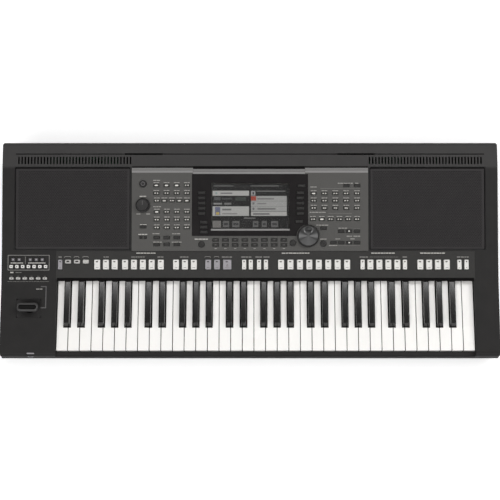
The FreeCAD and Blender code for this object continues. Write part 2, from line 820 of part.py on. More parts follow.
# Key well, lowered front rail and the opening of the button strip
well = box("key_well", (f"{WELL_RIGHT} - {WELL_LEFT}", "well_back - rail_depth", "2 * deck_height"),
           (WELL_LEFT, f"{FRONT} + rail_depth", "0"))
rail_space = box("rail_space", (f"{WELL_RIGHT} - {WELL_LEFT}", "well_back + overrun", "deck_height"),
                 (WELL_LEFT, f"{FRONT} - overrun", RAIL_TOP))
strip_hole = box("strip_hole", (f"{WELL_RIGHT} - {WELL_LEFT} + 2 * strip_lap",
                                f"strip_run - strip_ledge - {STRIP_FRONT_RUN}", "wall + 2 * overrun"),
                 (f"{WELL_LEFT} - strip_lap", STRIP_FRONT_RUN, "-wall - overrun"))
strip_cutter = group("strip_cutter", [strip_hole])
strip_cutter.Placement = STRIP
opened = cut("shell_opened", shell_whole, fuse("well_cutters", [well, rail_space, strip_cutter]))

# Openings of the panel and the grilles
panel_hole = box("panel_hole", ("panel_width - 2 * panel_ledge",
                                f"panel_run - panel_front_ledge - panel_bevel_run", "wall + 2 * overrun"),
                 ("-panel_width / 2 + panel_ledge", "panel_front_ledge", "-wall - overrun"))
grille_hole = round_slab("grille_hole", "grille_width + 2 * grille_gap", "grille_run + 2 * grille_gap",
                         "wall + 2 * overrun", "grille_round")
grille_middle = d.grille_start + d.grille_run / 2
grille_holes = copies("grille_holes", grille_hole, [
    (side * d.grille_centre, grille_middle, -d.wall - d.overrun) for side in (-1, 1)])
panel_cutters = group("panel_cutters", [panel_hole, grille_holes])
panel_cutters.Placement = PANEL

# Holes of the left block's buttons
BLOCK_HOLE_FOOT = -d.wall - d.overrun
note_hole = clearance_hole("note_hole", "note_width", "note_length", "wall + 2 * overrun")
memory_hole = clearance_hole("memory_hole", "memory_width", "memory_length", "wall + 2 * overrun")
note_spots = block_spots(note_low_shares, d.note_low_run, 0)
note_spots += block_spots(note_high_shares, d.note_high_run, 0)
memory_spots = block_spots(memory_shares, d.memory_run, 0)
block_cutters = group("block_cutters", [
    copies("note_holes", note_hole, [(x, y, BLOCK_HOLE_FOOT) for x, y, foot in note_spots]),
    copies("memory_holes", memory_hole, [(x, y, BLOCK_HOLE_FOOT) for x, y, foot in memory_spots])])
block_cutters.Placement = STRIP

# Opening over the joystick
stick_hole = box("stick_hole", ("stick_well_width", "stick_well_length", "wall + 2 * overrun"),
                 ("stick_x - stick_well_width / 2", "stick_run - stick_well_length / 2", "-wall - overrun"))
cheek_cutters = group("cheek_cutters", [stick_hole])
cheek_cutters.Placement = CHEEK

# Vent slits, groove and music-rest slots of the rear deck
vent = box("vent_slit", ("vent_width", "vent_length", "wall + 2 * overrun"),
           ("-vent_width / 2", "-vent_length / 2", "-wall - overrun"))
vents = copies("vent_slits", vent, [
    (side * (d.grille_centre - d.vent_shift) + (step - (VENT_COUNT - 1) / 2) * d.vent_pitch, d.vent_run, 0.0)
    for side in (-1, 1) for step in range(VENT_COUNT)])
groove = box("deck_groove", ("groove_length", "groove_width", "groove_depth + overrun"),
             ("-groove_length / 2", "groove_run - groove_width / 2", "-groove_depth"))
rest_slots = [box(name, ("rest_slot_length", "rest_slot_width", "wall + 2 * overrun"),
                  (f"{side} * rest_slot_x - rest_slot_length / 2", "groove_run - rest_slot_width / 2",
                   "-wall - overrun"))
              for name, side in (("rest_slot_left", "-1"), ("rest_slot_right", "1"))]
deck_cutters = group("deck_cutters", [vents, fuse("rest_cutters", [groove] + rest_slots)])
deck_cutters.Placement = DECK

# Rear sockets: each stands on its board and shows in a window of the rear wall
REAR = "(case_depth / 2 - socket_recess)"


def socket(name, width, height, depth, x):
    return box(name, (width, depth, height), (f"{x} - ({width}) / 2", f"{REAR} - ({depth})", SOCKET_FOOT))


def window(name, width, height, x):
    return box(name, (f"{width} + 2 * seat_gap", "wall + 2 * overrun", f"{height} + 2 * seat_gap"),
               (f"{x} - ({width}) / 2 - seat_gap", "case_depth / 2 - wall - overrun",
                f"{SOCKET_FOOT} - seat_gap"))


def bored(name, block, radius, depth, x, height):
    bore = cylinder(name + "_bore", radius, f"{depth} + overrun",
                    (x, f"{REAR} - ({depth})", f"{SOCKET_FOOT} + ({height}) / 2"), along="y")
    return cut(name, block, bore)


def row_places(name, count):
    """Name and x of each socket in an even row."""
    middle = (count - 1) / 2
    return [(f"{name}_{step}", f"({name}_x + {step - middle} * {name}_pitch)") for step in range(count)]


JACK_PLACES = row_places("jack", JACK_COUNT)
MIDI_PLACES = row_places("midi", MIDI_COUNT)
jacks = [bored(name, socket(name + "_block", "jack_width", "jack_height", "jack_depth", x),
               "jack_bore_radius", "jack_bore_depth", x, "jack_height") for name, x in JACK_PLACES]
keep("audio_jacks", group("audio_jacks", jacks))
midis = [bored(name, socket(name + "_block", "midi_width", "midi_height", "midi_depth", x),
               "midi_bore_radius", "midi_bore_depth", x, "midi_height") for name, x in MIDI_PLACES]


def usb(name, width, height, x):
    block = socket(name + "_block", width, height, "usb_depth", x)
    space = box(name + "_space",
                (f"{width} - 2 * usb_rim", "usb_bore_depth + overrun", f"{height} - 2 * usb_rim"),
                (f"{x} - {width} / 2 + usb_rim", f"{REAR} - usb_bore_depth", f"{SOCKET_FOOT} + usb_rim"))
    return cut(name, block, space)


keep("data_sockets", group("data_sockets", midis + [
    usb("usb_host", "usb_host_width", "usb_host_height", "usb_host_x"),
    usb("usb_stick", "usb_stick_width", "usb_stick_height", "usb_stick_x")]))
keep("power_inlet", bored("power_inlet", socket("inlet_block", "inlet_width", "inlet_height", "inlet_depth",
                                                "inlet_x"),
                          "inlet_bore_radius", "inlet_bore_depth", "inlet_x", "inlet_height"))
rear_windows = [window(name + "_window", "jack_width", "jack_height", x) for name, x in JACK_PLACES]
rear_windows += [window(name + "_window", "midi_width", "midi_height", x) for name, x in MIDI_PLACES]
rear_windows += [window("usb_host_window", "usb_host_width", "usb_host_height", "usb_host_x"),
                 window("usb_stick_window", "usb_stick_width", "usb_stick_height", "usb_stick_x"),
                 window("inlet_window", "inlet_width", "inlet_height", "inlet_x")]

# Headphone jack behind the front face of the left cheek
phones_block = box("phones_block", ("jack_width", "jack_depth", "jack_height"),
                   ("phones_x - jack_width / 2", f"{FRONT} + socket_recess", "phones_height"))
phones_bore = cylinder("phones_bore", "jack_bore_radius", "jack_bore_depth + overrun",
                       ("phones_x", f"{FRONT} + socket_recess - overrun", "phones_height + jack_height / 2"),
                       along="y")
keep("headphone_jack", cut("headphone_jack", phones_block, phones_bore))
phones_window = box("phones_window",
                    ("jack_width + 2 * seat_gap", "wall + 2 * overrun", "jack_height + 2 * seat_gap"),
                    ("phones_x - jack_width / 2 - seat_gap", f"{FRONT} - overrun",
                     "phones_height - seat_gap"))

shell_cutters = group("shell_cutters", [panel_cutters, block_cutters, cheek_cutters, deck_cutters,
                                        screw_bores, phones_window] + rear_windows)
keep("upper_case", cut("upper_case", opened, shell_cutters))

# Button strip: a plate in the opening above the keys, held by a lip under the case at each end
STRIP_LEFT = f"({WELL_LEFT} - strip_lap + seat_gap)"
STRIP_WIDTH = f"({WELL_RIGHT} - {WELL_LEFT} + 2 * strip_lap - 2 * seat_gap)"
STRIP_LENGTH = f"(strip_run - strip_ledge - seat_gap - {STRIP_FRONT_RUN})"
strip_plate = box("strip_plate", (STRIP_WIDTH, STRIP_LENGTH, "wall"), (STRIP_LEFT, STRIP_FRONT_RUN, "-wall"))
STRIP_RIGHT = f"({STRIP_LEFT} + {STRIP_WIDTH})"
strip_lips = [box(name, ("2 * strip_flange", f"{STRIP_LENGTH} - strip_flange", "strip_flange_sheet"),
                  (f"{edge} - strip_flange", f"{STRIP_FRONT_RUN} + strip_flange",
                   "-wall - strip_flange_sheet"))
              for name, edge in (("strip_left_lip", STRIP_LEFT), ("strip_right_lip", STRIP_RIGHT))]
strip_post = box("strip_post_block", ("strip_post_side", "strip_post_side", "strip_post"),
                 ("-strip_post_side / 2", "-strip_post_side / 2", "-wall - strip_post"))
strip_posts = copies("strip_posts", strip_post, strip_spots(strip_post_shares, d.strip_button_run, 0))
strip_whole = fuse("strip_whole", [strip_plate, strip_posts] + strip_lips)


def strip_button_master(name, width, length):
    return cap(name, width, length, "strip_button_corner", "wall + button_root + strip_button_rise")


STRIP_KINDS = {"plain": ("strip_button_width", "strip_button_length"),
               "narrow": ("narrow_button_width", "strip_button_length"),
               "wide": ("wide_button_width", "strip_button_length"),
               "short": ("strip_button_width", "short_button_length")}
strip_holes = {kind: clearance_hole(f"strip_{kind}_hole", *sides, "wall + 2 * overrun")
               for kind, sides in STRIP_KINDS.items()}
strip_caps = {kind: strip_button_master(f"strip_{kind}_cap", *sides) for kind, sides in STRIP_KINDS.items()}
short_run = d.strip_button_run + d.short_button_lead
STRIP_GROUPS = {
    "style_buttons": [("plain", style_shares, d.strip_button_run)],
    "grey_strip_buttons": [("narrow", grey_tall_shares, d.strip_button_run),
                           ("short", grey_short_shares, short_run),
                           ("plain", grey_plain_shares, d.strip_button_run),
                           ("wide", grey_wide_shares, d.strip_button_run)],
    "narrow_strip_buttons": [("narrow", narrow_shares, d.strip_button_run)],
    "registration_buttons": [("plain", registration_shares, d.strip_button_run)],
    "part_buttons": [("plain", part_shares, d.strip_button_run),
                     ("narrow", part_narrow_shares, d.strip_button_run)],
    "one_touch_buttons": [("plain", one_touch_shares, d.strip_button_run)],
}
strip_cuts = []
for name, rows in STRIP_GROUPS.items():
    buttons = []
    for kind, shares, run in rows:
        places = strip_spots(shares, run, -d.wall - d.button_root)
        buttons.append(copies(f"{name}_{kind}", strip_caps[kind], places))
        hole_places = strip_spots(shares, run, -d.wall - d.overrun)
        strip_cuts.append(copies(f"{name}_{kind}_holes", strip_holes[kind], hole_places))
    keep(name, bundle_of(name, buttons), STRIP)
keep("button_strip", cut("button_strip", strip_whole, group("strip_cuts", strip_cuts)), STRIP)
strip_board = box("strip_board_plate",
                  (f"{STRIP_WIDTH} - 2 * strip_flange", "strip_board_width", "board_sheet"),
                  (f"{STRIP_LEFT} + strip_flange", "strip_board_run", "-wall - strip_post - board_sheet"))
keep("strip_board", group("strip_board", [strip_board]), STRIP)

# Buttons of the left block
BLOCK_BUTTON_DEPTH = "wall + button_root + note_rise"
note_cap = cap("note_cap", "note_width", "note_length", "note_corner", BLOCK_BUTTON_DEPTH)
memory_cap = cap("memory_cap", "memory_width", "memory_length", "note_corner", BLOCK_BUTTON_DEPTH)
block_foot = -d.wall - d.button_root
for name, master, spots in (("scale_note_buttons", note_cap, note_spots),
                            ("scale_memory_buttons", memory_cap, memory_spots)):
    keep(name, copies(name, master, [(x, y, block_foot) for x, y, foot in spots]), STRIP)

# Control panel: three lengths of one bevelled section, the middle one ending short of the deck
PANEL_END = f"(panel_run - panel_start)"


def panel_section(name, left, right, end):
    body = prism(name, "YZ", [
        ("panel_start", "0"), ("panel_start", "panel_sheet"), (f"{end} - panel_bevel_run", "panel_sheet"),
        (end, "panel_bevel_edge"), (end, "0")], f"({right}) - ({left})")
    seat(body, (left, "0", "0"))
    return body


panel_parts = [
    panel_section("panel_left", "-panel_width / 2", "-panel_notch_left", PANEL_END),
    panel_section("panel_middle", "-panel_notch_left", "panel_notch_right",
                  f"({PANEL_END} - panel_notch_run)"),
    panel_section("panel_right", "panel_notch_right", "panel_width / 2", PANEL_END)]
panel_post = box("panel_post_block", ("panel_post_side", "panel_post_side", "panel_post"),
                 ("-panel_post_side / 2", "-panel_post_side / 2", "-panel_post"))
panel_posts = copies("panel_posts", panel_post, panel_spots(panel_post_shares, 0))
panel_whole = fuse("panel_whole", panel_parts + [panel_posts])
(dial_x, dial_y, dial_foot), = panel_spots(dial_shares, 0)
(knob_x, knob_y, knob_foot), = panel_spots(knob_shares, 0)

# Recess of the bezel, cut short round the dial, and the opening over the display
bezel_recess = box("bezel_recess",
                   ("bezel_width + 2 * seat_gap", "bezel_high_run - bezel_low_run + 2 * seat_gap",
                    "bezel_sheet + overrun"),
                   ("-bezel_width / 2 - seat_gap", "bezel_low_run - seat_gap", "panel_sheet - bezel_sheet"))
dial_ring = doc.addObject("Part::Cylinder", "dial_ring")
bind(dial_ring, {"Radius": "dial_radius + dial_moat", "Height": "panel_sheet + 2 * overrun"})
dial_ring.Placement.Base = V(dial_x, dial_y, -d.overrun)
recess = cut("bezel_space", bezel_recess, dial_ring)
WINDOW_LENGTH = "(window_high_run - window_low_run)"
display_hole = box("display_hole", ("window_width - 2 * window_ledge", f"{WINDOW_LENGTH} - 2 * window_ledge",
                                    "panel_sheet + 2 * overrun"),
                   ("window_shift - window_width / 2 + window_ledge", "window_low_run + window_ledge",
                    "-overrun"))


def shaft_hole(name, x, y):
    hole = cylinder(name, "shaft_radius + shaft_gap", "panel_sheet + 2 * overrun", ("0", "0", "-overrun"))
    return copies(name + "_place", hole, [(x, y, 0.0)])


PANEL_KINDS = {"pill": ("pill_length", "pill_width", "pill_corner"),
               "function": ("function_length", "function_width", "function_corner"),
               "twin": ("twin_length", "function_width", "function_corner"),
               "side": ("side_length", "side_width", "function_corner"),
               "value": ("value_length", "value_width", "pill_corner")}
PANEL_GROUPS = {
    "style_select_buttons": [("pill", style_select_shares)],
    "left_function_buttons": [("function", left_function_shares), ("twin", left_twin_shares)],
    "voice_select_buttons": [("pill", voice_select_shares)],
    "right_function_buttons": [("function", right_function_shares)],
    "display_side_buttons": [("side", display_side_shares)],
    "display_buttons": [("value", display_value_shares), ("round", display_round_shares)],
    "power_button": [("power", power_shares)],
}
BUTTON_DEPTH = "panel_sheet + button_root + panel_button_rise"
HOLE_DEPTH = "panel_sheet + 2 * overrun"
panel_holes = {kind: clearance_hole(f"panel_{kind}_hole", length, width, HOLE_DEPTH)
               for kind, (length, width, corner) in PANEL_KINDS.items()}
panel_caps = {kind: cap(f"panel_{kind}_cap", length, width, corner, BUTTON_DEPTH)
              for kind, (length, width, corner) in PANEL_KINDS.items()}
for kind in ("round", "power"):
    foot = ("0", "0", "0")
    panel_holes[kind] = cylinder(f"panel_{kind}_hole", f"{kind}_radius + button_gap", HOLE_DEPTH, foot)
    panel_caps[kind] = cylinder(f"panel_{kind}_cap", f"{kind}_radius", BUTTON_DEPTH, foot)
panel_cuts = []
for name, rows in PANEL_GROUPS.items():
    buttons = []
    for kind, shares in rows:
        buttons.append(copies(f"{name}_{kind}", panel_caps[kind], panel_spots(shares, -d.button_root)))
        panel_cuts.append(copies(f"{name}_{kind}_holes", panel_holes[kind], panel_spots(shares, -d.overrun)))
    keep(name, bundle_of(name, buttons), PANEL)
button_cuts = group("button_cuts", panel_cuts + [shaft_hole("dial_shaft_hole", dial_x, dial_y),
                                                 shaft_hole("knob_shaft_hole", knob_x, knob_y)])
recessed = cut("panel_recessed", panel_whole, fuse("bezel_cutters", [recess, display_hole]))
keep("control_panel", cut("control_panel", recessed, button_cuts), PANEL)

# Display: gloss bezel, clear window and the module behind the panel
bezel_plate = box("bezel_plate", ("bezel_width", "bezel_high_run - bezel_low_run", "bezel_sheet"),
                  ("-bezel_width / 2", "bezel_low_run", "panel_sheet - bezel_sheet"))
window_hole = box("window_hole", ("window_width", WINDOW_LENGTH, "bezel_sheet + 2 * overrun"),
                  ("window_shift - window_width / 2", "window_low_run", "-overrun"))
ring_space = doc.addObject("Part::Cylinder", "ring_space")
bind(ring_space, {"Radius": "dial_radius + dial_moat + seat_gap", "Height": "panel_sheet + 2 * overrun"})
ring_space.Placement.Base = V(dial_x, dial_y, -d.overrun)
bezel_open = cut("bezel_open", bezel_plate, fuse("bezel_openings", [window_hole, ring_space]))
side_holes = copies("bezel_side_holes", panel_holes["side"], panel_spots(display_side_shares, -d.overrun))
keep("display_bezel", cut("display_bezel", bezel_open, side_holes), PANEL)
display_window = box("window_plate",
                     ("window_width - 2 * seat_gap", f"{WINDOW_LENGTH} - 2 * seat_gap", "bezel_sheet"),
                     ("window_shift - window_width / 2 + seat_gap", "window_low_run + seat_gap",
                      "panel_sheet - bezel_sheet"))
keep("display_window", group("display_window", [display_window]), PANEL)
module = box("module_block",
             ("window_width + 2 * module_margin", f"{WINDOW_LENGTH} + 2 * module_margin", "module_depth"),
             ("window_shift - window_width / 2 - module_margin", "window_low_run - module_margin",
              "-module_depth"))
keep("display_module", group("display_module", [module]), PANEL)
BOARD_EDGE = "panel_ledge + panel_board_margin"
BOARD_LENGTH = f"(panel_run - panel_bevel_run - 2 * panel_board_margin - panel_front_ledge)"
panel_board = box("panel_board_plate", (f"panel_width - 2 * ({BOARD_EDGE})", BOARD_LENGTH, "board_sheet"),
                  (f"-panel_width / 2 + {BOARD_EDGE}", "panel_front_ledge + panel_board_margin",
                   "-panel_post - board_sheet"))
module_space = box("module_space", ("window_width + 2 * module_margin + 2 * seat_gap",
                                    f"{WINDOW_LENGTH} + 2 * module_margin + 2 * seat_gap",
                                    "board_sheet + 2 * overrun"),
                   ("window_shift - window_width / 2 - module_margin - seat_gap",
                    "window_low_run - module_margin - seat_gap", "-panel_post - board_sheet - overrun"))
keep("panel_board", cut("panel_board", panel_board, module_space), PANEL)

# Volume knob with a skirt, a faceted grip and a pointer mark, and the data dial with its finger dimple
KNOB_FOOT = "(panel_sheet + knob_lift)"
SHAFT_FOOT = "(seat_gap - panel_post)"
KNOB_TOP = f"({KNOB_FOOT} + knob_height)"
knob_skirt = lathe("knob_turned", [
    ("0", SHAFT_FOOT), ("shaft_radius", SHAFT_FOOT), ("shaft_radius", KNOB_FOOT), ("knob_radius", KNOB_FOOT),
    ("knob_radius", f"{KNOB_FOOT} + knob_skirt"), ("0", f"{KNOB_FOOT} + knob_skirt")])
knob_grip = post("knob_grip", GRIP_SIDES, "knob_grip_radius", "knob_height", ("0", "0", KNOB_FOOT))
knob_mark = box("knob_mark", ("knob_mark_width", "knob_grip_radius", "knob_mark_depth + overrun"),
                ("-knob_mark_width / 2", "knob_mark_width", f"{KNOB_TOP} - knob_mark_depth"))
KNOB = PANEL.multiply(Place(V(knob_x, knob_y, 0), Turn()))
keep("volume_knob", cut("volume_knob", fuse("knob_whole", [knob_skirt, knob_grip]), knob_mark), KNOB)
DIAL_TOP = f"({KNOB_FOOT} + dial_height)"
dial_turned = lathe("dial_turned", [
    ("0", SHAFT_FOOT), ("shaft_radius", SHAFT_FOOT), ("shaft_radius", KNOB_FOOT), ("dial_radius", KNOB_FOOT),
    ("dial_radius", f"{DIAL_TOP} - dial_crown"), ("dial_radius - dial_crown", DIAL_TOP), ("0", DIAL_TOP)])
dimple = doc.addObject("Part::Cone", "dial_dimple")
bind(dimple, {"Radius1": "dimple_floor_radius", "Radius2": "dimple_radius", "Height": "dimple_depth"})
seat(dimple, ("0", "dimple_reach", f"{DIAL_TOP} - dimple_depth"))
DIAL = PANEL.multiply(Place(V(dial_x, dial_y, 0), Turn()))
keep("data_dial", cut("data_dial", dial_turned, dimple), DIAL)

# Speaker grilles, the boxes that carry them and the drive units under the baffles
grille_plate = round_slab("grille_plate", "grille_width", "grille_run", "grille_sheet", "grille_round")
keep("speaker_grilles", copies("speaker_grilles", grille_plate, [
    (side * d.grille_centre, grille_middle, -d.wall) for side in (-1, 1)]), PANEL)
BAFFLE_FOOT = "(-wall - baffle_sheet)"
baffle = box("baffle", ("grille_width + 2 * baffle_lip", "grille_run + 2 * baffle_end_lip", "baffle_sheet"),
             ("-grille_width / 2 - baffle_lip", "-grille_run / 2 - baffle_end_lip", BAFFLE_FOOT))
box_outer = box("box_outer", ("grille_width - 2 * box_inset", "grille_run - 2 * box_inset", "box_depth"),
                ("-grille_width / 2 + box_inset", "-grille_run / 2 + box_inset",
                 f"{BAFFLE_FOOT} - box_depth"))
box_inner = box("box_inner",
                (f"grille_width - 2 * box_wall", f"grille_run - 2 * box_wall", "box_depth - wall"),
                (f"-grille_width / 2 + box_wall", f"-grille_run / 2 + box_wall",
                 f"{BAFFLE_FOOT} - box_depth + wall"))
port = cylinder("box_port", "port_radius", "wall + 2 * overrun",
                ("tweeter_offset", f"grille_run / 2 - box_wall - overrun",
                 f"{BAFFLE_FOOT} - box_depth / 2"), along="y")
woofer_hole = cylinder("woofer_hole", "woofer_hole_radius", "baffle_sheet + 2 * overrun",
                       ("-woofer_offset", "0", f"{BAFFLE_FOOT} - overrun"))
tweeter_hole = cylinder("tweeter_hole", "tweeter_hole_radius", "baffle_sheet + 2 * overrun",
                        ("tweeter_offset", "0", f"{BAFFLE_FOOT} - overrun"))
speaker_box = cut("speaker_box", fuse("box_whole", [baffle, box_outer]),
                  fuse("box_spaces", [box_inner, port, woofer_hole, tweeter_hole]))
HALF_TURN = Turn(V(0, 0, 1), 180)


def speaker_pair(name, master, offset):
    """The same unit on both sides, each towards its own side of the case."""
    doc.recompute()
    feature = doc.addObject("Part::Feature", name)
    solids = []
    for side in (-1, 1):
        solid = master.Shape.copy()
        solid.translate(V(-offset, 0, 0))
        turn = Turn() if side < 0 else HALF_TURN
        solid.Placement = Place(V(side * d.grille_centre, grille_middle, 0), turn).multiply(solid.Placement)
        solids.append(solid)
    feature.Shape = Part.makeCompound(solids)
    return keep(name, feature, PANEL)


speaker_pair("speaker_boxes", speaker_box, 0.0)
BASKET_FLOOR = f"({BAFFLE_FOOT} - woofer_basket_depth)"
woofer_frame = lathe("woofer_frame", [
    ("woofer_hole_radius", BAFFLE_FOOT), ("woofer_radius", BAFFLE_FOOT),
    ("woofer_radius", f"{BAFFLE_FOOT} - woofer_flange"), ("woofer_neck_radius", BASKET_FLOOR),
    ("magnet_radius", BASKET_FLOOR), ("magnet_radius", f"{BASKET_FLOOR} - magnet_depth"),
    ("0", f"{BASKET_FLOOR} - magnet_depth"), ("0", f"{BASKET_FLOOR} + woofer_flange"),
    ("woofer_neck_radius - woofer_flange", f"{BASKET_FLOOR} + woofer_flange")])
speaker_pair("woofer_frames", woofer_frame, d.woofer_offset)
CONE_FOOT = f"({BAFFLE_FOOT} - cone_depth)"
woofer_cone = lathe("woofer_cone", [
    ("0", CONE_FOOT), ("coil_radius", CONE_FOOT), ("cone_radius", f"{BAFFLE_FOOT} - cone_lip"),
    ("cone_radius", f"{BAFFLE_FOOT} - cone_lip - cone_sheet"), ("coil_radius", f"{CONE_FOOT} - cone_sheet"),
    ("0", f"{CONE_FOOT} - cone_sheet")])
speaker_pair("woofer_cones", woofer_cone, d.woofer_offset)
tweeter = lathe("tweeter", [
    ("tweeter_hole_radius", BAFFLE_FOOT), ("tweeter_radius", BAFFLE_FOOT),
    ("tweeter_radius", f"{BAFFLE_FOOT} - woofer_flange"),
    ("tweeter_body_radius", f"{BAFFLE_FOOT} - woofer_flange"),
    ("tweeter_body_radius", f"{BAFFLE_FOOT} - tweeter_depth"), ("0", f"{BAFFLE_FOOT} - tweeter_depth"),
    ("0", f"{BAFFLE_FOOT} - tweeter_dish"), ("tweeter_hole_radius", f"{BAFFLE_FOOT} - tweeter_dish")])
speaker_pair("tweeters", tweeter, -d.tweeter_offset)

# Keys: each note's outline in plan, its head as wide as the white pitch and its shank in an equal lane
LANE_COUNT = {"low": 5, "high": 7}
WHITE_COUNT = {"low": 3, "high": 4}
WHITES_BEFORE_COUNT = {"low": 0, "high": WHITE_COUNT["low"]}
WHITE_NOTES = {"c": (0, "low", 0), "d": (1, "low", 2), "e": (2, "low", 4), "f": (3, "high", 0),
               "g": (4, "high", 2), "a": (5, "high", 4), "b": (6, "high", 6)}
BLACK_NOTES = {"c_sharp": ("low", 1), "d_sharp": ("low", 3), "f_sharp": ("high", 1), "g_sharp": ("high", 3),
               "a_sharp": ("high", 5)}
octave = len(WHITE_NOTES) * d.white_pitch


def lane(half, index):
    """Left and right edge of a lane: three or four white keys share out five or seven equal lanes."""
    edge = f"({WHITES_BEFORE_COUNT[half]} + {WHITE_COUNT[half]} / {LANE_COUNT[half]} * {{}}) * white_pitch"
    return edge.format(index), edge.format(index + 1)


def key_outline(index, half, place, full_back, inset):
    """Plan of a white key: head, shank and, where nothing is inset, the narrow tail over the pivot."""
    head_left, head_right = f"{index} * white_pitch", f"{index + 1} * white_pitch"
    lane_left, lane_right = lane(half, place)
    last = LANE_COUNT[half] - 1
    straight_left, straight_right = place == 0, place == last or full_back
    gap = f"(key_gap / 2 + {inset})"
    shank_left = head_left if straight_left else lane_left
    shank_right = head_right if straight_right else lane_right
    shoulder = f"{HEAD_RUN} - {inset}"
    right = [(f"{head_right} - {gap}", inset)]
    if not straight_right:
        right += [(f"{head_right} - {gap}", shoulder), (f"{shank_right} - {gap}", shoulder)]
    right.append((f"{shank_right} - {gap}", f"shank_run - {inset}"))
    left = [(f"{head_left} + {gap}", inset)]
    if not straight_left:
        left += [(f"{head_left} + {gap}", shoulder), (f"{shank_left} + {gap}", shoulder)]
    left.append((f"{shank_left} + {gap}", f"shank_run - {inset}"))
    tail = []
    if inset == "0":
        tail_left, tail_right = f"{lane_left} + tail_gap / 2", f"{lane_right} - tail_gap / 2"
        tail = [(tail_right, "shank_run"), (tail_right, "pivot_run + tail_end"),
                (tail_left, "pivot_run + tail_end"), (tail_left, "shank_run")]
    return right + tail + left[::-1]


def pivot_slot(body, name):
    """A slot across the underside of the tail, closed at the top, that sits on the pivot rod."""
    front, back = (f"pivot_run {sign} (rod_radius + rod_gap)" for sign in "-+")
    crown = "pivot_rise + rod_radius + rod_gap"
    outline = [(front, "-overrun"), (back, "-overrun"), (back, crown), (front, crown)]
    pocket(body, name + "_slot", sketch(body, name + "_slot_outline", "YZ", outline), "2 * case_width",
           symmetric=True)


def white_key(name, index, half, place, full_back=False):
    body = doc.addObject("PartDesign::Body", name)
    plan = sketch(body, name + "_plan", "XY", key_outline(index, half, place, full_back, "0"))
    pad(body, name + "_pad", plan, "key_height")
    inside = sketch(body, name + "_inside", "XY", key_outline(index, half, place, full_back, "key_wall"))
    pocket(body, name + "_hollow", inside, "key_height - key_top_skin", upward=True)
    pivot_slot(body, name)
    return body


def black_key(name, half, place):
    left, right = lane(half, place)
    left, right = f"{left} + key_gap / 2", f"{right} - key_gap / 2"
    tail_left, tail_right = f"{left} + (tail_gap - key_gap) / 2", f"{right} - (tail_gap - key_gap) / 2"
    front, back = "black_front_run", "shank_run"
    body = doc.addObject("PartDesign::Body", name)
    plan = sketch(body, name + "_plan", "XY", [
        (left, front), (right, front), (right, back), (tail_right, back),
        (tail_right, "pivot_run + tail_end"), (tail_left, "pivot_run + tail_end"), (tail_left, back),
        (left, back)])
    pad(body, name + "_pad", plan, "black_base")
    crown_left, crown_right = (f"({left} + {right}) / 2 {sign} black_top_width / 2" for sign in "-+")
    foot = sketch(body, name + "_foot", "XY", [(left, front), (right, front), (right, back), (left, back)])
    bind(foot, {".AttachmentOffset.Base.z": "black_base"})
    crown = sketch(body, name + "_crown", "XY", [
        (crown_left, f"{front} + black_nose"), (crown_right, f"{front} + black_nose"),
        (crown_right, f"{back} - black_heel"), (crown_left, f"{back} - black_heel")])
    bind(crown, {".AttachmentOffset.Base.z": "key_height + black_rise"})
    loft = body.newObject("PartDesign::AdditiveLoft", name + "_ridge")
    loft.Profile = foot
    loft.Sections = [crown]
    loft.Ruled = True
    pivot_slot(body, name)
    return body


def key_node(name, master, octaves, last=None):
    doc.recompute()
    feature = doc.addObject("Part::Feature", name)
    solids = []
    for solid, step in [(master, step) for step in range(octaves)] + ([(last, octaves)] if last else []):
        key = solid.Shape.copy()
        key.translate(V(step * octave, 0, 0))
        solids.append(key)
    feature.Shape = Part.makeCompound(solids)
    keep(name, feature)
    seat(feature, ("key_left", f"{FRONT} + key_front_setback", KEY_FOOT))


top_key = white_key("key_top_c", *WHITE_NOTES["c"], full_back=True)
for note, shape in WHITE_NOTES.items():
    key_node(f"keys_{note}", white_key(f"key_{note}", *shape), OCTAVES, top_key if note == "c" else None)
for note, shape in BLACK_NOTES.items():
    key_node(f"keys_{note}", black_key(f"key_{note}", *shape), OCTAVES)

# Keybed: a folded channel on the floor of the tray, with a rib at each octave that carries the pivot rod
bed = prism("bed_channel", "YZ", [
    ("bed_front", FLOOR), ("bed_front", BED_TOP), ("bed_back", BED_TOP), ("bed_back", FLOOR),
    ("bed_back - bed_sheet", FLOOR), ("bed_back - bed_sheet", f"{BED_TOP} - bed_sheet"),
    ("bed_front + bed_sheet", f"{BED_TOP} - bed_sheet"), ("bed_front + bed_sheet", FLOOR)],
    "key_right - key_left + rib_width")
seat(bed, ("key_left - rib_width / 2", FRONT, "0"))
PIVOT_Y = f"({FRONT} + key_front_setback + pivot_run)"
PIVOT_Z = f"({KEY_FOOT} + pivot_rise)"
rib = box("bed_rib", ("rib_width", "2 * rib_reach", f"{PIVOT_Z} + rib_top - {BED_TOP}"),
          ("-rib_width / 2", f"{PIVOT_Y} - rib_reach", BED_TOP))
bed_ribs = copies("bed_ribs", rib, [(d.key_left + step * octave, 0.0, 0.0) for step in range(OCTAVES + 1)]
                  + [(d.key_right, 0.0, 0.0)])
rod_slot = box("rod_slot", ("key_right - key_left + 2 * overrun", "2 * (rod_radius + rod_gap)",
                            "rod_radius + rod_gap + rib_top + overrun"),
               ("key_left - overrun", f"{PIVOT_Y} - rod_radius - rod_gap",
                f"{PIVOT_Z} - rod_radius - rod_gap"))
keep("keybed_frame", cut("keybed_frame", fuse("bed_whole", [bed, bed_ribs]), rod_slot))
keep("key_pivot_rod", cylinder("key_pivot_rod", "rod_radius", "key_right - key_left + 2 * rib_width",
                               ("key_left - rib_width", PIVOT_Y, PIVOT_Z), along="x"))


def bed_strip(name, run, width, foot, height):
    return box(name, ("key_right - key_left", width, height),
               ("key_left", f"{FRONT} + key_front_setback + {run}", foot))


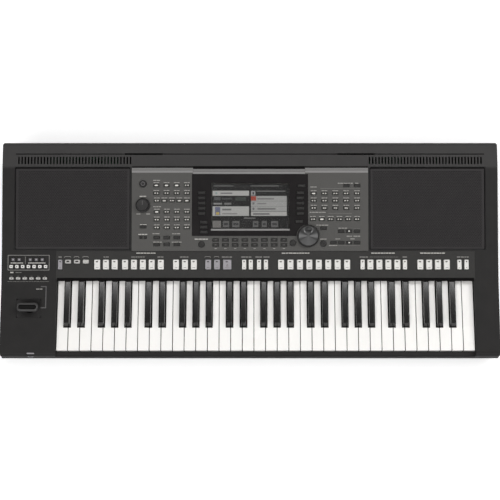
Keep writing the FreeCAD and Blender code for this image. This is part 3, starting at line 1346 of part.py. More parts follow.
def felt(name, run):
    """A felt as high as the underside of a pressed key allows."""
    drop = f"key_dip * (pivot_run - {run}) / pivot_run"
    return bed_strip(name, run, "felt_width", BED_TOP, f"{KEY_FOOT} - {drop} - 2 * seat_gap - {BED_TOP}")


keep("key_stop_felts", group("key_stop_felts", [felt("front_felt", "felt_front_run"),
                                                felt("black_felt", "felt_black_run")]))
contact_board = bed_strip("key_contact_board", "contact_run", "contact_width", BED_TOP, "board_sheet")
keep("key_contact_board", contact_board)
RUBBER_FOOT = f"({BED_TOP} + board_sheet)"
RUBBER_BACK = "(key_front_setback + contact_run + contact_width / 2 - rubber_width / 2)"
rubber = prism("key_contact_rubber", "YZ", [
    (RUBBER_BACK, RUBBER_FOOT), (f"{RUBBER_BACK} + rubber_width", RUBBER_FOOT),
    (f"{RUBBER_BACK} + (rubber_width + rubber_crown) / 2", f"{RUBBER_FOOT} + rubber_height"),
    (f"{RUBBER_BACK} + (rubber_width - rubber_crown) / 2", f"{RUBBER_FOOT} + rubber_height")],
    "key_right - key_left")
seat(rubber, ("key_left", FRONT, "0"))
keep("key_contact_rubber", rubber)

# Joystick: a housing under the cheek, a gimbal that tilts sideways and a lever that tilts fore and aft in it
STICK = CHEEK.multiply(Place(V(d.stick_x, d.stick_run, 0), Turn()))


def centred(name, width, length, height, foot):
    return box(name, (width, length, height), (f"-({width}) / 2", f"-({length}) / 2", foot))


house = centred("house_block", "stick_well_width + 2 * stick_house_rim",
                "stick_well_length + 2 * stick_house_rim", "stick_house_depth",
                "-wall - seat_gap - stick_house_depth")
house_well = centred("house_well", "stick_well_width", "stick_well_length", "stick_well_depth + overrun",
                     "-stick_well_depth")
house_pit = centred("house_pit", "stick_pit_width", "stick_pit_length", "stick_house_depth + overrun",
                    "-stick_house_depth")
PIVOT = "-stick_pivot_depth"
house_pin_hole = cylinder("house_pin_hole", "pin_radius + pin_gap", "stick_pit_length + 2 * pin_reach",
                          ("0", "-stick_pit_length / 2 - pin_reach", PIVOT), along="y")
house_spaces = fuse("house_spaces", [house_well, house_pit, house_pin_hole])
keep("joystick_housing", cut("joystick_housing", house, house_spaces), STICK)
GIMBAL_FOOT = f"({PIVOT} - gimbal_height / 2)"
gimbal_block = centred("gimbal_block", "gimbal_width", "gimbal_length", "gimbal_height", GIMBAL_FOOT)
gimbal_hole = centred("gimbal_hole", "gimbal_width - 2 * gimbal_rail", "gimbal_length - 2 * gimbal_rail",
                      "gimbal_height + 2 * overrun", f"{GIMBAL_FOOT} - overrun")
gimbal_ring = cut("gimbal_ring", gimbal_block, gimbal_hole)
PIN_END = "(stick_pit_length / 2 + pin_reach - seat_gap)"
gimbal_pins = [cylinder("gimbal_pin_front", "pin_radius", f"{PIN_END} - gimbal_length / 2 + gimbal_rail / 2",
                        ("0", f"-{PIN_END}", PIVOT), along="y"),
               cylinder("gimbal_pin_rear", "pin_radius", f"{PIN_END} - gimbal_length / 2 + gimbal_rail / 2",
                        ("0", "gimbal_length / 2 - gimbal_rail / 2", PIVOT), along="y")]
lever_pin_hole = cylinder("lever_pin_hole", "pin_radius + pin_gap", "gimbal_width + 2 * overrun",
                          ("-gimbal_width / 2 - overrun", "0", PIVOT), along="x")
gimbal_whole = fuse("gimbal_whole", [gimbal_ring] + gimbal_pins)
keep("joystick_gimbal", cut("joystick_gimbal", gimbal_whole, lever_pin_hole), STICK)
lever_block = centred("lever_root", "lever_block", "lever_block", "gimbal_height", GIMBAL_FOOT)
lever_pin = cylinder("lever_pin", "pin_radius", "gimbal_width", ("-gimbal_width / 2", "0", PIVOT), along="x")
lever_neck = lathe("lever_neck", [
    ("0", PIVOT), ("lever_neck_radius", PIVOT), ("lever_neck_radius", "cap_lift - lever_skirt_height"),
    ("lever_skirt_radius", "cap_lift"), ("0", "cap_lift")])
lever_cap = cap("lever_cap", "cap_width", "cap_length", "cap_round", "cap_height")
seat(lever_cap, ("0", "0", "cap_lift"))
cap_groove = cap("cap_groove", "cap_groove_width", "cap_groove_length", "cap_groove_length / 3",
                 "cap_groove_depth + overrun")
seat(cap_groove, ("0", "0", "cap_lift + cap_height - cap_groove_depth"))
lever_whole = fuse("lever_whole", [lever_block, lever_pin, lever_neck, lever_cap])
keep("joystick_lever", cut("joystick_lever", lever_whole, cap_groove), STICK)

# Boards on the posts of the tray, and the heat sink of the amplifier
for name, x, width in (("main_board", "main_board_x", "main_board_width"),
                       ("power_board", "inlet_x", "power_board_width")):
    keep(name, box(name, (width, "main_board_depth", "board_sheet"),
                   (f"{x} - {width} / 2", f"{BOARD_BACK} - main_board_depth",
                    f"{SOCKET_FOOT} - board_sheet")))
SINK_CORNER = ("sink_left", f"{BOARD_BACK} - sink_back - sink_depth", SOCKET_FOOT)
sink_base = box("sink_plate", ("sink_width", "sink_depth", "sink_base"), SINK_CORNER)
sink_fin = box("sink_blade", ("sink_fin", "sink_depth", "sink_height"), SINK_CORNER)
fin_step = (d.sink_width - d.sink_fin) / (FIN_COUNT - 1)
sink_fins = copies("sink_fins", sink_fin, [(step * fin_step, 0.0, 0.0) for step in range(FIN_COUNT)])
keep("heatsink", fuse("heatsink", [sink_base, sink_fins]))

doc.recompute()
faults = [f"{thing.Name}: {thing.State}" for thing in doc.Objects
          if "Invalid" in thing.State or "Error" in thing.State]
faults += [name for name, thing in NODES.items() if thing.Shape.isNull() or not thing.Shape.isValid()]
if faults:
    raise RuntimeError("not built: " + ", ".join(faults))
os.makedirs("parts", exist_ok=True)
for name, thing in NODES.items():
    thing.Shape.exportStep(os.path.join("parts", name + ".step"))
print(len(NODES), "sub-parts,", sum(len(thing.Shape.Solids) for thing in NODES.values()), "solids")
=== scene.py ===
import math

import bpy
import numpy as np
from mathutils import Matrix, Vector


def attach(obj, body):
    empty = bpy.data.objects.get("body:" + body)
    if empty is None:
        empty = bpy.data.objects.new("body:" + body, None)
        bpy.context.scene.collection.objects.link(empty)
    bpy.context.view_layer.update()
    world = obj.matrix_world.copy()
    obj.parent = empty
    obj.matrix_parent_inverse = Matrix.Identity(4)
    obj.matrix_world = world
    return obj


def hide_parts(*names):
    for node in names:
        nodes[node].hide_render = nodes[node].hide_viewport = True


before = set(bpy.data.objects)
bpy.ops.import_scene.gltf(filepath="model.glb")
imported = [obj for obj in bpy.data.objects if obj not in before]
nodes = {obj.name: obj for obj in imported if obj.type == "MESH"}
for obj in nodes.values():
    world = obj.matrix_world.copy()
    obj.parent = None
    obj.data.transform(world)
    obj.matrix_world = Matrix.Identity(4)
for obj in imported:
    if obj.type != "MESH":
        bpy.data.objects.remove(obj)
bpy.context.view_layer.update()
mm = 0.001
weldGrid = {"solid": 1000, "sheet": 2000}  # steps per millimetre when corners at one place are joined
leastCorner, sides = 0.08, 40  # smallest corner radius, and sides of a small turned piece
seed = np.random.default_rng(61)
print("frame loaded:", len(nodes), "nodes")

# faces that carry pieces: (y, z) of two points up the slope, in millimetres
caseLines = {
    "cheek": ((-210.0, 76.0), (-70.0, 84.3)),
    "strip": ((-70.0, 84.3), (-3.0, 95.0)),
    "panel": ((-3.0, 95.0), (165.0, 127.6)),
    "deck": ((165.0, 127.6), (210.0, 132.0)),
    "brow": ((-216.0, 66.0), (-210.0, 76.0)),
    "level": ((0.0, 0.0), (1.0, 0.0)),
    "rear": ((216.0, 0.0), (216.0, -1.0)),
    "front": ((-216.0, 0.0), (-216.0, 1.0)),
}


def slopeOf(face):
    # unit vector up the slope, from the two points
    (footY, footZ), (headY, headZ) = caseLines[face]
    span = math.hypot(headY - footY, headZ - footZ)
    return footY, footZ, (headY - footY) / span, (headZ - footZ) / span


def onFace(face, spots):
    # (x, run, lift) to x, y, z: foot + run along the slope + lift along its normal
    footY, footZ, c, s = slopeOf(face)
    x, run, lift = np.moveaxis(np.asarray(spots, float), -1, 0)
    return np.stack([x, footY + run * c - lift * s, footZ + run * s + lift * c], axis=-1)


def offFace(face, points):
    # the reverse of onFace: project on the slope and on its normal
    footY, footZ, c, s = slopeOf(face)
    y, z = points[:, 1] - footY, points[:, 2] - footZ
    return np.stack([points[:, 0], y * c + z * s, z * c - y * s], axis=-1)


def solidBoxes(node, face):
    # triangles that share corners take the lowest label until nothing changes; then one box per label
    mesh = nodes[node].data
    points = np.empty(len(mesh.vertices) * 3, np.float32)
    mesh.vertices.foreach_get("co", points)
    points = points.reshape(-1, 3) / mm
    corners = np.empty(len(mesh.loops), np.int32)
    mesh.loops.foreach_get("vertex_index", corners)
    same = np.round(points * weldGrid["solid"]).astype(np.int64)
    same = np.unique(same, axis=0, return_inverse=True)[1].ravel()
    triangles = same[corners.reshape(-1, 3)]
    label, spread = np.arange(same.max() + 1), None
    while spread is None or (spread != label).any():
        spread = label.copy()
        np.minimum.at(label, triangles.ravel(), np.repeat(spread[triangles].min(axis=1), 3))
    local, owner = offFace(face, points), label[same]
    boxes = [(local[owner == one].min(axis=0), local[owner == one].max(axis=0)) for one in np.unique(owner)]
    boxes.sort(key=lambda ends: (-round(float(ends[0][1] + ends[1][1])), ends[0][0]))
    return np.array(boxes)


def softCorners(width, length, corner, perCorner=4):
    # quarter arcs: (half size - radius) * corner sign + radius * (cos, sin), counter-clockwise
    turn = (np.linspace(0, math.pi / 2, perCorner) + np.arange(4)[:, None] * math.pi / 2).ravel()
    signX = np.repeat([1, -1, -1, 1], perCorner)
    signY = np.repeat([1, 1, -1, -1], perCorner)
    width, length, corner = (np.asarray(size, float)[..., None] for size in (width, length, corner))
    x = signX * (width / 2 - corner) + corner * np.cos(turn)
    y = signY * (length / 2 - corner) + corner * np.sin(turn)
    return np.stack([x, y], axis=-1)


def withLift(flat, lift):
    # flat rings (..., points, 2) and one lift for each ring to rings of (x, run, lift)
    lift = np.broadcast_to(np.asarray(lift, float)[..., None, None], flat.shape[:-1] + (1,))
    return np.concatenate([flat, lift], axis=-1)


def ringStack(rings, capped=True, looped=False):
    # rings along the second axis: a quad between neighbours,
    # then a cap at each end or a way back to the first
    copies, levels, around = rings.shape[:3]
    index = np.arange(copies * levels * around).reshape(copies, levels, around)
    above = np.roll(index, -1, axis=1)
    if not looped:
        index, above = index[:, :-1], above[:, :-1]
    quads = np.stack([index, np.roll(index, -1, axis=2), np.roll(above, -1, axis=2), above], axis=-1)
    faces = [quads.reshape(-1, 4)]
    if capped and not looped:
        faces.append(np.concatenate([index[:, 0, ::-1], above[:, -1]]))
    return rings.reshape(-1, 3), faces


def stackOn(face, rings, **way):
    # a ring stack set on one face of the case
    points, faces = ringStack(rings, **way)
    return onFace(face, points), faces


def edgeRound(radius, steps=4):
    # quarter circle as (inset, drop) rows from the side up to the top
    turn = np.linspace(0, math.pi / 2, steps)
    return np.stack([radius * (1 - np.cos(turn)), radius * (1 - np.sin(turn))], axis=-1)


def scoop(share, dish):
    # dish * (1 - run share squared) * (1 - x share to the fourth), nothing past the rim
    share = np.clip(np.abs(share), 0, 1)
    return dish * (1 - share[..., 1] ** 2) * (1 - share[..., 0] ** 4)


innerSteps = np.array([0.3, 0.6, 0.93])  # rings inside a cap's rim, as shares of the way to its middle


def capStack(face, boxes, cap):
    # outline rings shrunk by each row's inset and raised to the top less its drop;
    # the rings inside the rim are scooped
    boxes, edge, dish = np.asarray(boxes, float), cap["edge"], cap.get("dish", 0.0)
    size, middle = boxes[:, 1] - boxes[:, 0], boxes.mean(axis=1)
    rows = np.vstack([[0.0, 0.0], edgeRound(edge)])
    inset = np.broadcast_to(rows[:, 0], (len(size), len(rows)))
    lift = boxes[:, 1, 2:] - rows[:, 1]
    lift[:, 0] = boxes[:, 0, 2]
    if dish:
        half = size[:, :2].min(axis=1)[:, None] / 2
        inset = np.hstack([inset, edge + (half - edge) * innerSteps])
        lift = np.hstack([lift, np.repeat(boxes[:, 1, 2:], len(innerSteps), axis=1)])
    corner = np.maximum(cap["corner"] - inset, leastCorner)
    outline = softCorners(size[:, :1] - 2 * inset, size[:, 1:2] - 2 * inset, corner, cap.get("perCorner", 4))
    rings = withLift(outline + middle[:, None, None, :2], lift)
    if dish:
        share = outline / (size[:, None, None, :2] / 2 - edge)
        rings[:, len(rows):, :, 2] -= scoop(share, dish)[:, len(rows):]
    return stackOn(face, rings)


def onCap(boxes, cap, right=0.0, up=0.0):
    # spots on the scooped tops, shifted from each cap's middle
    half, middle = (boxes[:, 1] - boxes[:, 0]) / 2, boxes.mean(axis=1)
    shift = np.column_stack([np.broadcast_to(right, len(boxes)), np.broadcast_to(up, len(boxes))])
    lift = boxes[:, 1, 2] - scoop(shift / (half[:, :2] - cap["edge"]), cap["dish"])
    return np.column_stack([middle[:, :2] + shift, lift])


padFoot, padEdge = 0.4, 0.3  # how far a mark's foot is sunk, and the largest rounding of its edge


def padMarks(face, spots, size, height, corner):
    # low lenses centred on the given spots, standing on a sunk foot
    size = np.broadcast_to(np.asarray(size, float), (len(spots), 2))
    low = np.column_stack([spots[:, :2] - size / 2, spots[:, 2] - padFoot])
    high = np.column_stack([spots[:, :2] + size / 2, spots[:, 2] + height])
    return capStack(face, np.stack([low, high], axis=1), {"corner": corner, "edge": min(height, padEdge)})


def marked(face, spots, cap, kind, mark):
    # marks of one kind from a cap's settings: its size, then its height and corner
    return (*padMarks(face, spots, cap[kind], *cap[kind + "Pad"]), mark)


def slabs(face, boxes):
    # closed plates given as (x0, x1, run0, run1, lift0, lift1) rows: two four-point rings each
    boxes = np.asarray(boxes, float).reshape(-1, 6)
    flat = np.stack([boxes[:, [1, 0, 0, 1]], boxes[:, [3, 3, 2, 2]]], axis=-1)
    return stackOn(face, withLift(np.stack([flat, flat], axis=1), boxes[:, 4:]))


def turned(face, x, run, profile, around=64, ripple=None, looped=False):
    # profile rows of (radius, lift) swept round an upright axis; ripple adds to the radius at each angle
    profile = np.asarray(profile, float)
    angle = np.arange(around) * 2 * math.pi / around
    radius = profile[:, :1] + (np.zeros(around) if ripple is None else ripple(angle, profile))
    flat = np.stack([x + radius * np.cos(angle), run + radius * np.sin(angle)], axis=-1)
    return stackOn(face, withLift(flat, profile[:, 1])[None], looped=looped)


def fromRim(radius, top, rows):
    # (inset, drop) rows to (radius - inset, top - drop)
    return [(radius - inset, top - drop) for inset, drop in rows]


def fromAxis(top, rows):
    # (radius, drop) rows to (radius, top - drop)
    return [(radius, top - drop) for radius, drop in rows]


def twoTone(points, faces, count, first, second):
    # one stack in two finishes: the first quads and the foot's cap, then the rest
    quads, *caps = faces
    return [(points, [quads[:count], *(cap[:1] for cap in caps)], first),
            (points, [quads[count:], *(cap[1:] for cap in caps)], second)]


def newObject(name, data):
    made = bpy.data.objects.new(name, data)
    bpy.context.scene.collection.objects.link(made)
    return made


def pour(name, body, parts, finishes, stands=(), sharp=35):
    # all parts into one mesh: (points in millimetres, face arrays, finish number) with running offsets
    starts = np.cumsum([0] + [len(part[0]) for part in parts])
    loops, totals, marks = [], [], []
    for (points, faces, mark), start in zip(parts, starts):
        for face in faces:
            loops.append((face + start).ravel())
            totals.append(np.full(len(face), face.shape[1]))
            marks.append(np.full(len(face), mark))
    points = np.concatenate([part[0] for part in parts]) * mm
    loops, totals, marks = (np.concatenate(rows).astype(np.int32) for rows in (loops, totals, marks))
    mesh = bpy.data.meshes.new(name)
    mesh.vertices.add(len(points))
    mesh.vertices.foreach_set("co", points.astype(np.float32).ravel())
    mesh.loops.add(len(loops))
    mesh.loops.foreach_set("vertex_index", loops)
    mesh.polygons.add(len(totals))
    mesh.polygons.foreach_set("loop_start", (np.cumsum(totals) - totals).astype(np.int32))
    mesh.polygons.foreach_set("material_index", marks)
    mesh.update(calc_edges=True)
    mesh.validate()
    mesh.shade_smooth()
    mesh.set_sharp_from_angle(angle=math.radians(sharp))
    for look in finishes:
        mesh.materials.append(look)
    piece = newObject(name, mesh)
    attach(piece, body)
    if stands:
        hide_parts(*stands)
    return piece


def dress(node, ending, parts, finishes):
    # a piece that rides on its node's own body and stands in for its solids
    return pour(node + ending, node, parts, finishes, [node])


def plate(name, face, boxes, look):
    # plain slabs of one finish, fixed to the case
    return pour(name, "case", [(*slabs(face, boxes), 0)], [look])


def paint(red, green, blue):
    # sRGB 0 to 255 to linear: ((v + 0.055) / 1.055) to the 2.4, or v / 12.92 near black
    tone = np.array([red, green, blue]) / 255
    tone = np.where(tone <= 0.04045, tone / 12.92, ((tone + 0.055) / 1.055) ** 2.4)
    return (*tone.tolist(), 1.0)


def plug(tree, socket, value):
    # an output is linked, anything else is set
    if hasattr(value, "is_output"):
        tree.links.new(value, socket)
    else:
        socket.default_value = value


def newGroup(name, inputs, outputs):
    tree = bpy.data.node_groups.new(name, "ShaderNodeTree")
    for label, kind, value in inputs:
        socket = tree.interface.new_socket(label, in_out="INPUT", socket_type="NodeSocket" + kind)
        socket.default_value = value
    for label, kind in outputs:
        tree.interface.new_socket(label, in_out="OUTPUT", socket_type="NodeSocket" + kind)
    return tree, tree.nodes.new("NodeGroupInput"), tree.nodes.new("NodeGroupOutput")


def mathNode(tree, operation, *values):
    node = tree.nodes.new("ShaderNodeMath")
    node.operation = operation
    for socket, value in zip(node.inputs, values):
        plug(tree, socket, value)
    return node.outputs[0]


def mixColour(tree, blend, factor, first, second):
    node = tree.nodes.new("ShaderNodeMix")
    node.data_type, node.blend_type = "RGBA", blend
    for index, value in ((0, factor), (6, first), (7, second)):
        plug(tree, node.inputs[index], value)
    return node.outputs[2]


def placeOf(tree, kind="Object"):
    return tree.nodes.new("ShaderNodeTexCoord").outputs[kind]


def noiseNode(tree, scale, detail):
    node = tree.nodes.new("ShaderNodeTexNoise")
    node.inputs["Detail"].default_value = detail
    tree.links.new(placeOf(tree), node.inputs["Vector"])
    plug(tree, node.inputs["Scale"], scale)
    return node.outputs["Fac"]


def rampNode(tree, value, start, end, first, last):
    # straight line from first at start to last at end, held outside
    node = tree.nodes.new("ShaderNodeMapRange")
    tree.links.new(value, node.inputs["Value"])
    for label, number in (("From Min", start), ("From Max", end), ("To Min", first), ("To Max", last)):
        node.inputs[label].default_value = number
    return node.outputs["Result"]


def axisOf(tree, vector, axis):
    split = tree.nodes.new("ShaderNodeSeparateXYZ")
    tree.links.new(vector, split.inputs[0])
    return split.outputs[axis]


def normalAxis(tree, axis):
    return axisOf(tree, tree.nodes.new("ShaderNodeNewGeometry").outputs["Normal"], axis)


weather = {"grainDetail": 2.0, "rubDetail": 4.0, "rubShade": 0.6, "dustDetail": 6.0, "dustScale": 38.0,
           "dust": (205, 200, 192), "relief": 0.0002}


def makeMouldGrain():
    # colour times 1 + contrast * (fine noise - half); height is the same noise
    inputs = [("Colour", "Color", (1, 1, 1, 1)), ("Grain", "Float", 900.0), ("Contrast", "Float", 0.1)]
    tree, given, made = newGroup("mouldGrain", inputs, [("Colour", "Color"), ("Height", "Float")])
    fine = noiseNode(tree, given.outputs["Grain"], weather["grainDetail"])
    shade = mathNode(tree, "SUBTRACT", fine, 0.5)
    shade = mathNode(tree, "MULTIPLY_ADD", shade, given.outputs["Contrast"], 1.0)
    tree.links.new(mixColour(tree, "MULTIPLY", 1.0, given.outputs["Colour"], shade), made.inputs["Colour"])
    tree.links.new(fine, made.inputs["Height"])
    return tree


def makeHandRub():
    # roughness: base + spread * (broad noise - half); the same patches shade the colour a little
    inputs = [("Colour", "Color", (1, 1, 1, 1)), ("Roughness", "Float", 0.5), ("Spread", "Float", 0.1),
              ("Patch", "Float", 14.0)]
    tree, given, made = newGroup("handRub", inputs, [("Colour", "Color"), ("Roughness", "Float")])
    broad = noiseNode(tree, given.outputs["Patch"], weather["rubDetail"])
    broad = mathNode(tree, "SUBTRACT", broad, 0.5)
    rough = mathNode(tree, "MULTIPLY_ADD", broad, given.outputs["Spread"], given.outputs["Roughness"])
    shade = mathNode(tree, "MULTIPLY", broad, given.outputs["Spread"])
    shade = mathNode(tree, "MULTIPLY_ADD", shade, weather["rubShade"], 1.0)
    tree.links.new(mixColour(tree, "MULTIPLY", 1.0, given.outputs["Colour"], shade), made.inputs["Colour"])
    tree.links.new(rough, made.inputs["Roughness"])
    return tree


def makeDustFall():
    # a pale veil on faces that look up: amount * upward share * blotchy noise
    inputs = [("Colour", "Color", (1, 1, 1, 1)), ("Amount", "Float", 0.02)]
    tree, given, made = newGroup("dustFall", inputs, [("Colour", "Color")])
    upward = mathNode(tree, "MAXIMUM", normalAxis(tree, "Z"), 0.0)
    blotch = noiseNode(tree, weather["dustScale"], weather["dustDetail"])
    blotch = mathNode(tree, "MULTIPLY", blotch, upward)
    veil = mathNode(tree, "MULTIPLY", blotch, given.outputs["Amount"])
    dusted = mixColour(tree, "MIX", veil, given.outputs["Colour"], paint(*weather["dust"]))
    tree.links.new(dusted, made.inputs["Colour"])
    return tree


mouldGrain, handRub, dustFall = makeMouldGrain(), makeHandRub(), makeDustFall()


def useGroup(tree, group, **values):
    node = tree.nodes.new("ShaderNodeGroup")
    node.node_tree = group
    for label, value in values.items():
        plug(tree, node.inputs[label], value)
    return node


def finish(name, colour, rough, grain=900.0, contrast=0.12, bump=0.12, spread=0.1, patch=14.0, dust=0.015,
           paintedLightZones=None, glow=0.0, tint=None, **sockets):
    # moulded finish: grain, rubbed patches and dust over one colour, bump from the grain;
    # painted light and shade from the zones, where given, go into that colour;
    # a named tint attribute takes the colour's place, in the light given off where the piece glows
    material = bpy.data.materials.new(name)
    material.use_nodes = True
    tree = material.node_tree
    shader = tree.nodes["Principled BSDF"]
    base = paintedLightZones(tree, paint(*colour)) if paintedLightZones else paint(*colour)
    if tint:
        layer = tree.nodes.new("ShaderNodeAttribute")
        layer.attribute_name = tint
        base = base if glow else layer.outputs["Color"]
    fine = useGroup(tree, mouldGrain, Colour=base, Grain=grain, Contrast=contrast)
    rubbed = useGroup(tree, handRub, Colour=fine.outputs["Colour"], Roughness=rough, Spread=spread,
                      Patch=patch)
    dusty = useGroup(tree, dustFall, Colour=rubbed.outputs["Colour"], Amount=dust)
    relief = tree.nodes.new("ShaderNodeBump")
    relief.inputs["Strength"].default_value = bump
    relief.inputs["Distance"].default_value = weather["relief"]
    tree.links.new(fine.outputs["Height"], relief.inputs["Height"])
    tree.links.new(dusty.outputs["Colour"], shader.inputs["Base Color"])
    tree.links.new(rubbed.outputs["Roughness"], shader.inputs["Roughness"])
    tree.links.new(relief.outputs["Normal"], shader.inputs["Normal"])
    if glow:
        light = layer.outputs["Color"] if tint else dusty.outputs["Colour"]
        tree.links.new(light, shader.inputs["Emission Color"])
        shader.inputs["Emission Strength"].default_value = glow
    for label, value in sockets.items():
        shader.inputs[label.replace("_", " ")].default_value = value
    return material


# painted light and shade on the case: a lighter deck where it looks up, and a darker front
casePaintedLight = {"deckFrom": (0.160, 0.166), "lookUp": (0.5, 0.8), "deck": (58, 57, 57),
            "frontEdge": (-0.2150, -0.2115), "front": (15, 15, 15)}
# painted shade on the white keys' sides, for the shade in the gaps between them
keyGapShadeTone = {"turn": (0.2, 0.65), "edge": (66, 63, 60)}


def caseLitAndShaded(tree, base):
    # painted light and shade by ramps on y: a painted lighter grey behind the panel's head, only where the
    # face looks up, and a darker front edge of painted shade
    y = axisOf(tree, placeOf(tree), "Y")
    behind = rampNode(tree, y, *casePaintedLight["deckFrom"], 0.0, 1.0)
    upward = rampNode(tree, normalAxis(tree, "Z"), *casePaintedLight["lookUp"], 0.0, 1.0)
    litDeck = mathNode(tree, "MULTIPLY", behind, upward)
    deck = mixColour(tree, "MIX", litDeck, base, paint(*casePaintedLight["deck"]))
    frontShade = rampNode(tree, y, *casePaintedLight["frontEdge"], 1.0, 0.0)
    return mixColour(tree, "MIX", frontShade, deck, paint(*casePaintedLight["front"]))


def keyGapShade(tree, base):
    # painted shade between keys: a ramp on how far the face turns sideways greys the edges towards the next
    # key
    sideways = mathNode(tree, "ABSOLUTE", normalAxis(tree, "X"))
    edge = rampNode(tree, sideways, *keyGapShadeTone["turn"], 0.0, 1.0)
    return mixColour(tree, "MIX", edge, base, paint(*keyGapShadeTone["edge"]))


satin = {"Specular_IOR_Level": 0.25}
dull = {"Specular_IOR_Level": 0.16}
inkLook = {"grain": 3000, "contrast": 0.2, "bump": 0.05, "dust": 0.0, **dull}
lensLook = {"grain": 800, "contrast": 0.05, "bump": 0.02, "dust": 0.0}
casePlastic = finish("casePlastic", (35, 34, 34), 0.62, grain=1400, bump=0.25, paintedLightZones=caseLitAndShaded, **dull)
# the tray's own dark plastic, darkened further as painted shade at the case's foot; also the joystick's neck
# and the painted shade in its hollow
trayPlastic = finish("trayPlastic", (17, 17, 17), 0.7, grain=1100, bump=0.3, Specular_IOR_Level=0.06)
stripPlastic = finish("stripPlastic", (39, 38, 37), 0.5, grain=1800, **satin)
panelPaint = finish("panelPaint", (76, 75, 73), 0.46, grain=2400, contrast=0.16, bump=0.14, **satin)
# painted highlight greys for the panel's bevelled head; the lighter one also colours the window sill
trimPaint = finish("trimPaint", (134, 133, 132), 0.36, grain=2200, bump=0.08, **satin)
trimDark = finish("trimDark", (121, 120, 119), 0.4, grain=2200, bump=0.08, **satin)
shadeLine = finish("shadeLine", (16, 15, 15), 0.8, grain=1500, bump=0.2, dust=0.0, Specular_IOR_Level=0.05)
backingDark = finish("backingDark", (36, 35, 35), 0.8, grain=1500, bump=0.2, dust=0.0, **dull)
bezelGloss = finish("bezelGloss", (30, 28, 29), 0.14, grain=500, contrast=0.05, bump=0.01, spread=0.05,
                    **dull)
grillePaint = finish("grillePaint", (47, 45, 46), 0.6, grain=2600, bump=0.2, **dull)
grilleRim = finish("grilleRim", (46, 44, 45), 0.55, grain=1800, bump=0.15, **dull)
whiteKey = finish("whiteKey", (251, 249, 246), 0.26, grain=300, contrast=0.015, bump=0.01, dust=0.0,
                  spread=0.12, paintedLightZones=keyGapShade, **satin)
blackKey = finish("blackKey", (17, 16, 15), 0.1, grain=2600, contrast=0.2, bump=0.02, dust=0.004,
                  spread=0.03, Specular_IOR_Level=0.5)
whiteButton = finish("whiteButton", (224, 222, 218), 0.4, grain=1500, contrast=0.03, bump=0.05, dust=0.0,
                     **satin)
greyButton = finish("greyButton", (152, 149, 153), 0.42, grain=1500, contrast=0.06, bump=0.06, **satin)
darkButton = finish("darkButton", (34, 33, 32), 0.46, grain=2000, **satin)
pillButton = finish("pillButton", (50, 49, 47), 0.42, grain=2000, bump=0.1, **satin)
noteButton = finish("noteButton", (92, 90, 91), 0.45, grain=1500, bump=0.08, **satin)
markInk = finish("markInk", (186, 184, 179), 0.55, **inkLook)
captionInk = finish("captionInk", (152, 150, 146), 0.55, **inkLook)
labelInk = finish("labelInk", (146, 144, 141), 0.55, **inkLook)
dimInk = finish("dimInk", (118, 116, 113), 0.55, **inkLook)
darkInk = finish("darkInk", (58, 54, 54), 0.5, **inkLook)
barInk = finish("barInk", (186, 184, 181), 0.5, **{**inkLook, "contrast": 0.1})
lensGlow = finish("lensGlow", (220, 218, 212), 0.3, glow=0.03, **lensLook)
lensDim = finish("lensDim", (190, 188, 182), 0.3, **lensLook)
knobPlastic = finish("knobPlastic", (39, 38, 38), 0.48, grain=1600, bump=0.15, **satin)
rimPlastic = finish("rimPlastic", (23, 22, 22), 0.45, grain=1600, **satin)
dialFace = finish("dialFace", (96, 95, 95), 0.4, contrast=0.1, bump=0.04, dust=0.0, tint="tint", **satin)
leverPlastic = finish("leverPlastic", (50, 49, 49), 0.42, grain=1600, bump=0.15, Specular_IOR_Level=0.4)
dishPlastic = finish("dishPlastic", (50, 49, 49), 0.6, grain=1400, bump=0.2, **dull)
wellPlastic = finish("wellPlastic", (42, 41, 41), 0.6, grain=1400, bump=0.2, **dull)
rubberSole = finish("rubberSole", (26, 26, 26), 0.8, grain=700, bump=0.4, **dull)
socketPlastic = finish("socketPlastic", (24, 24, 24), 0.5, grain=1200, bump=0.15, **satin)
screenGlow = finish("screenGlow", (6, 6, 7), 0.3, grain=1200, contrast=0.06, bump=0.0, dust=0.0,
                    tint="tint", glow=0.72)
boardLacquer = finish("boardLacquer", (20, 84, 46), 0.3, grain=160, contrast=0.9, bump=0.3)
speakerIron = finish("speakerIron", (36, 36, 37), 0.45, grain=700, bump=0.3)
conePaper = finish("conePaper", (32, 31, 31), 0.8, grain=1100, contrast=0.35, bump=0.5, **dull)
bedSteel = finish("bedSteel", (128, 129, 133), 0.38, grain=420, contrast=0.2, bump=0.1, Metallic=0.9)
brightSteel = finish("brightSteel", (190, 190, 192), 0.26, grain=600, bump=0.05, Metallic=1.0)
sinkAluminium = finish("sinkAluminium", (196, 197, 200), 0.34, grain=500, bump=0.1, Metallic=1.0)
pressedFelt = finish("pressedFelt", (112, 26, 28), 0.95, grain=2200, contrast=0.6, bump=0.8, **dull)
clearWindow = finish("clearWindow", (242, 241, 239), 0.05, grain=300, contrast=0.01, bump=0.0, dust=0.0,
                     spread=0.03, Transmission_Weight=1.0, Specular_IOR_Level=0.12)
print("finishes made:", len(bpy.data.materials))

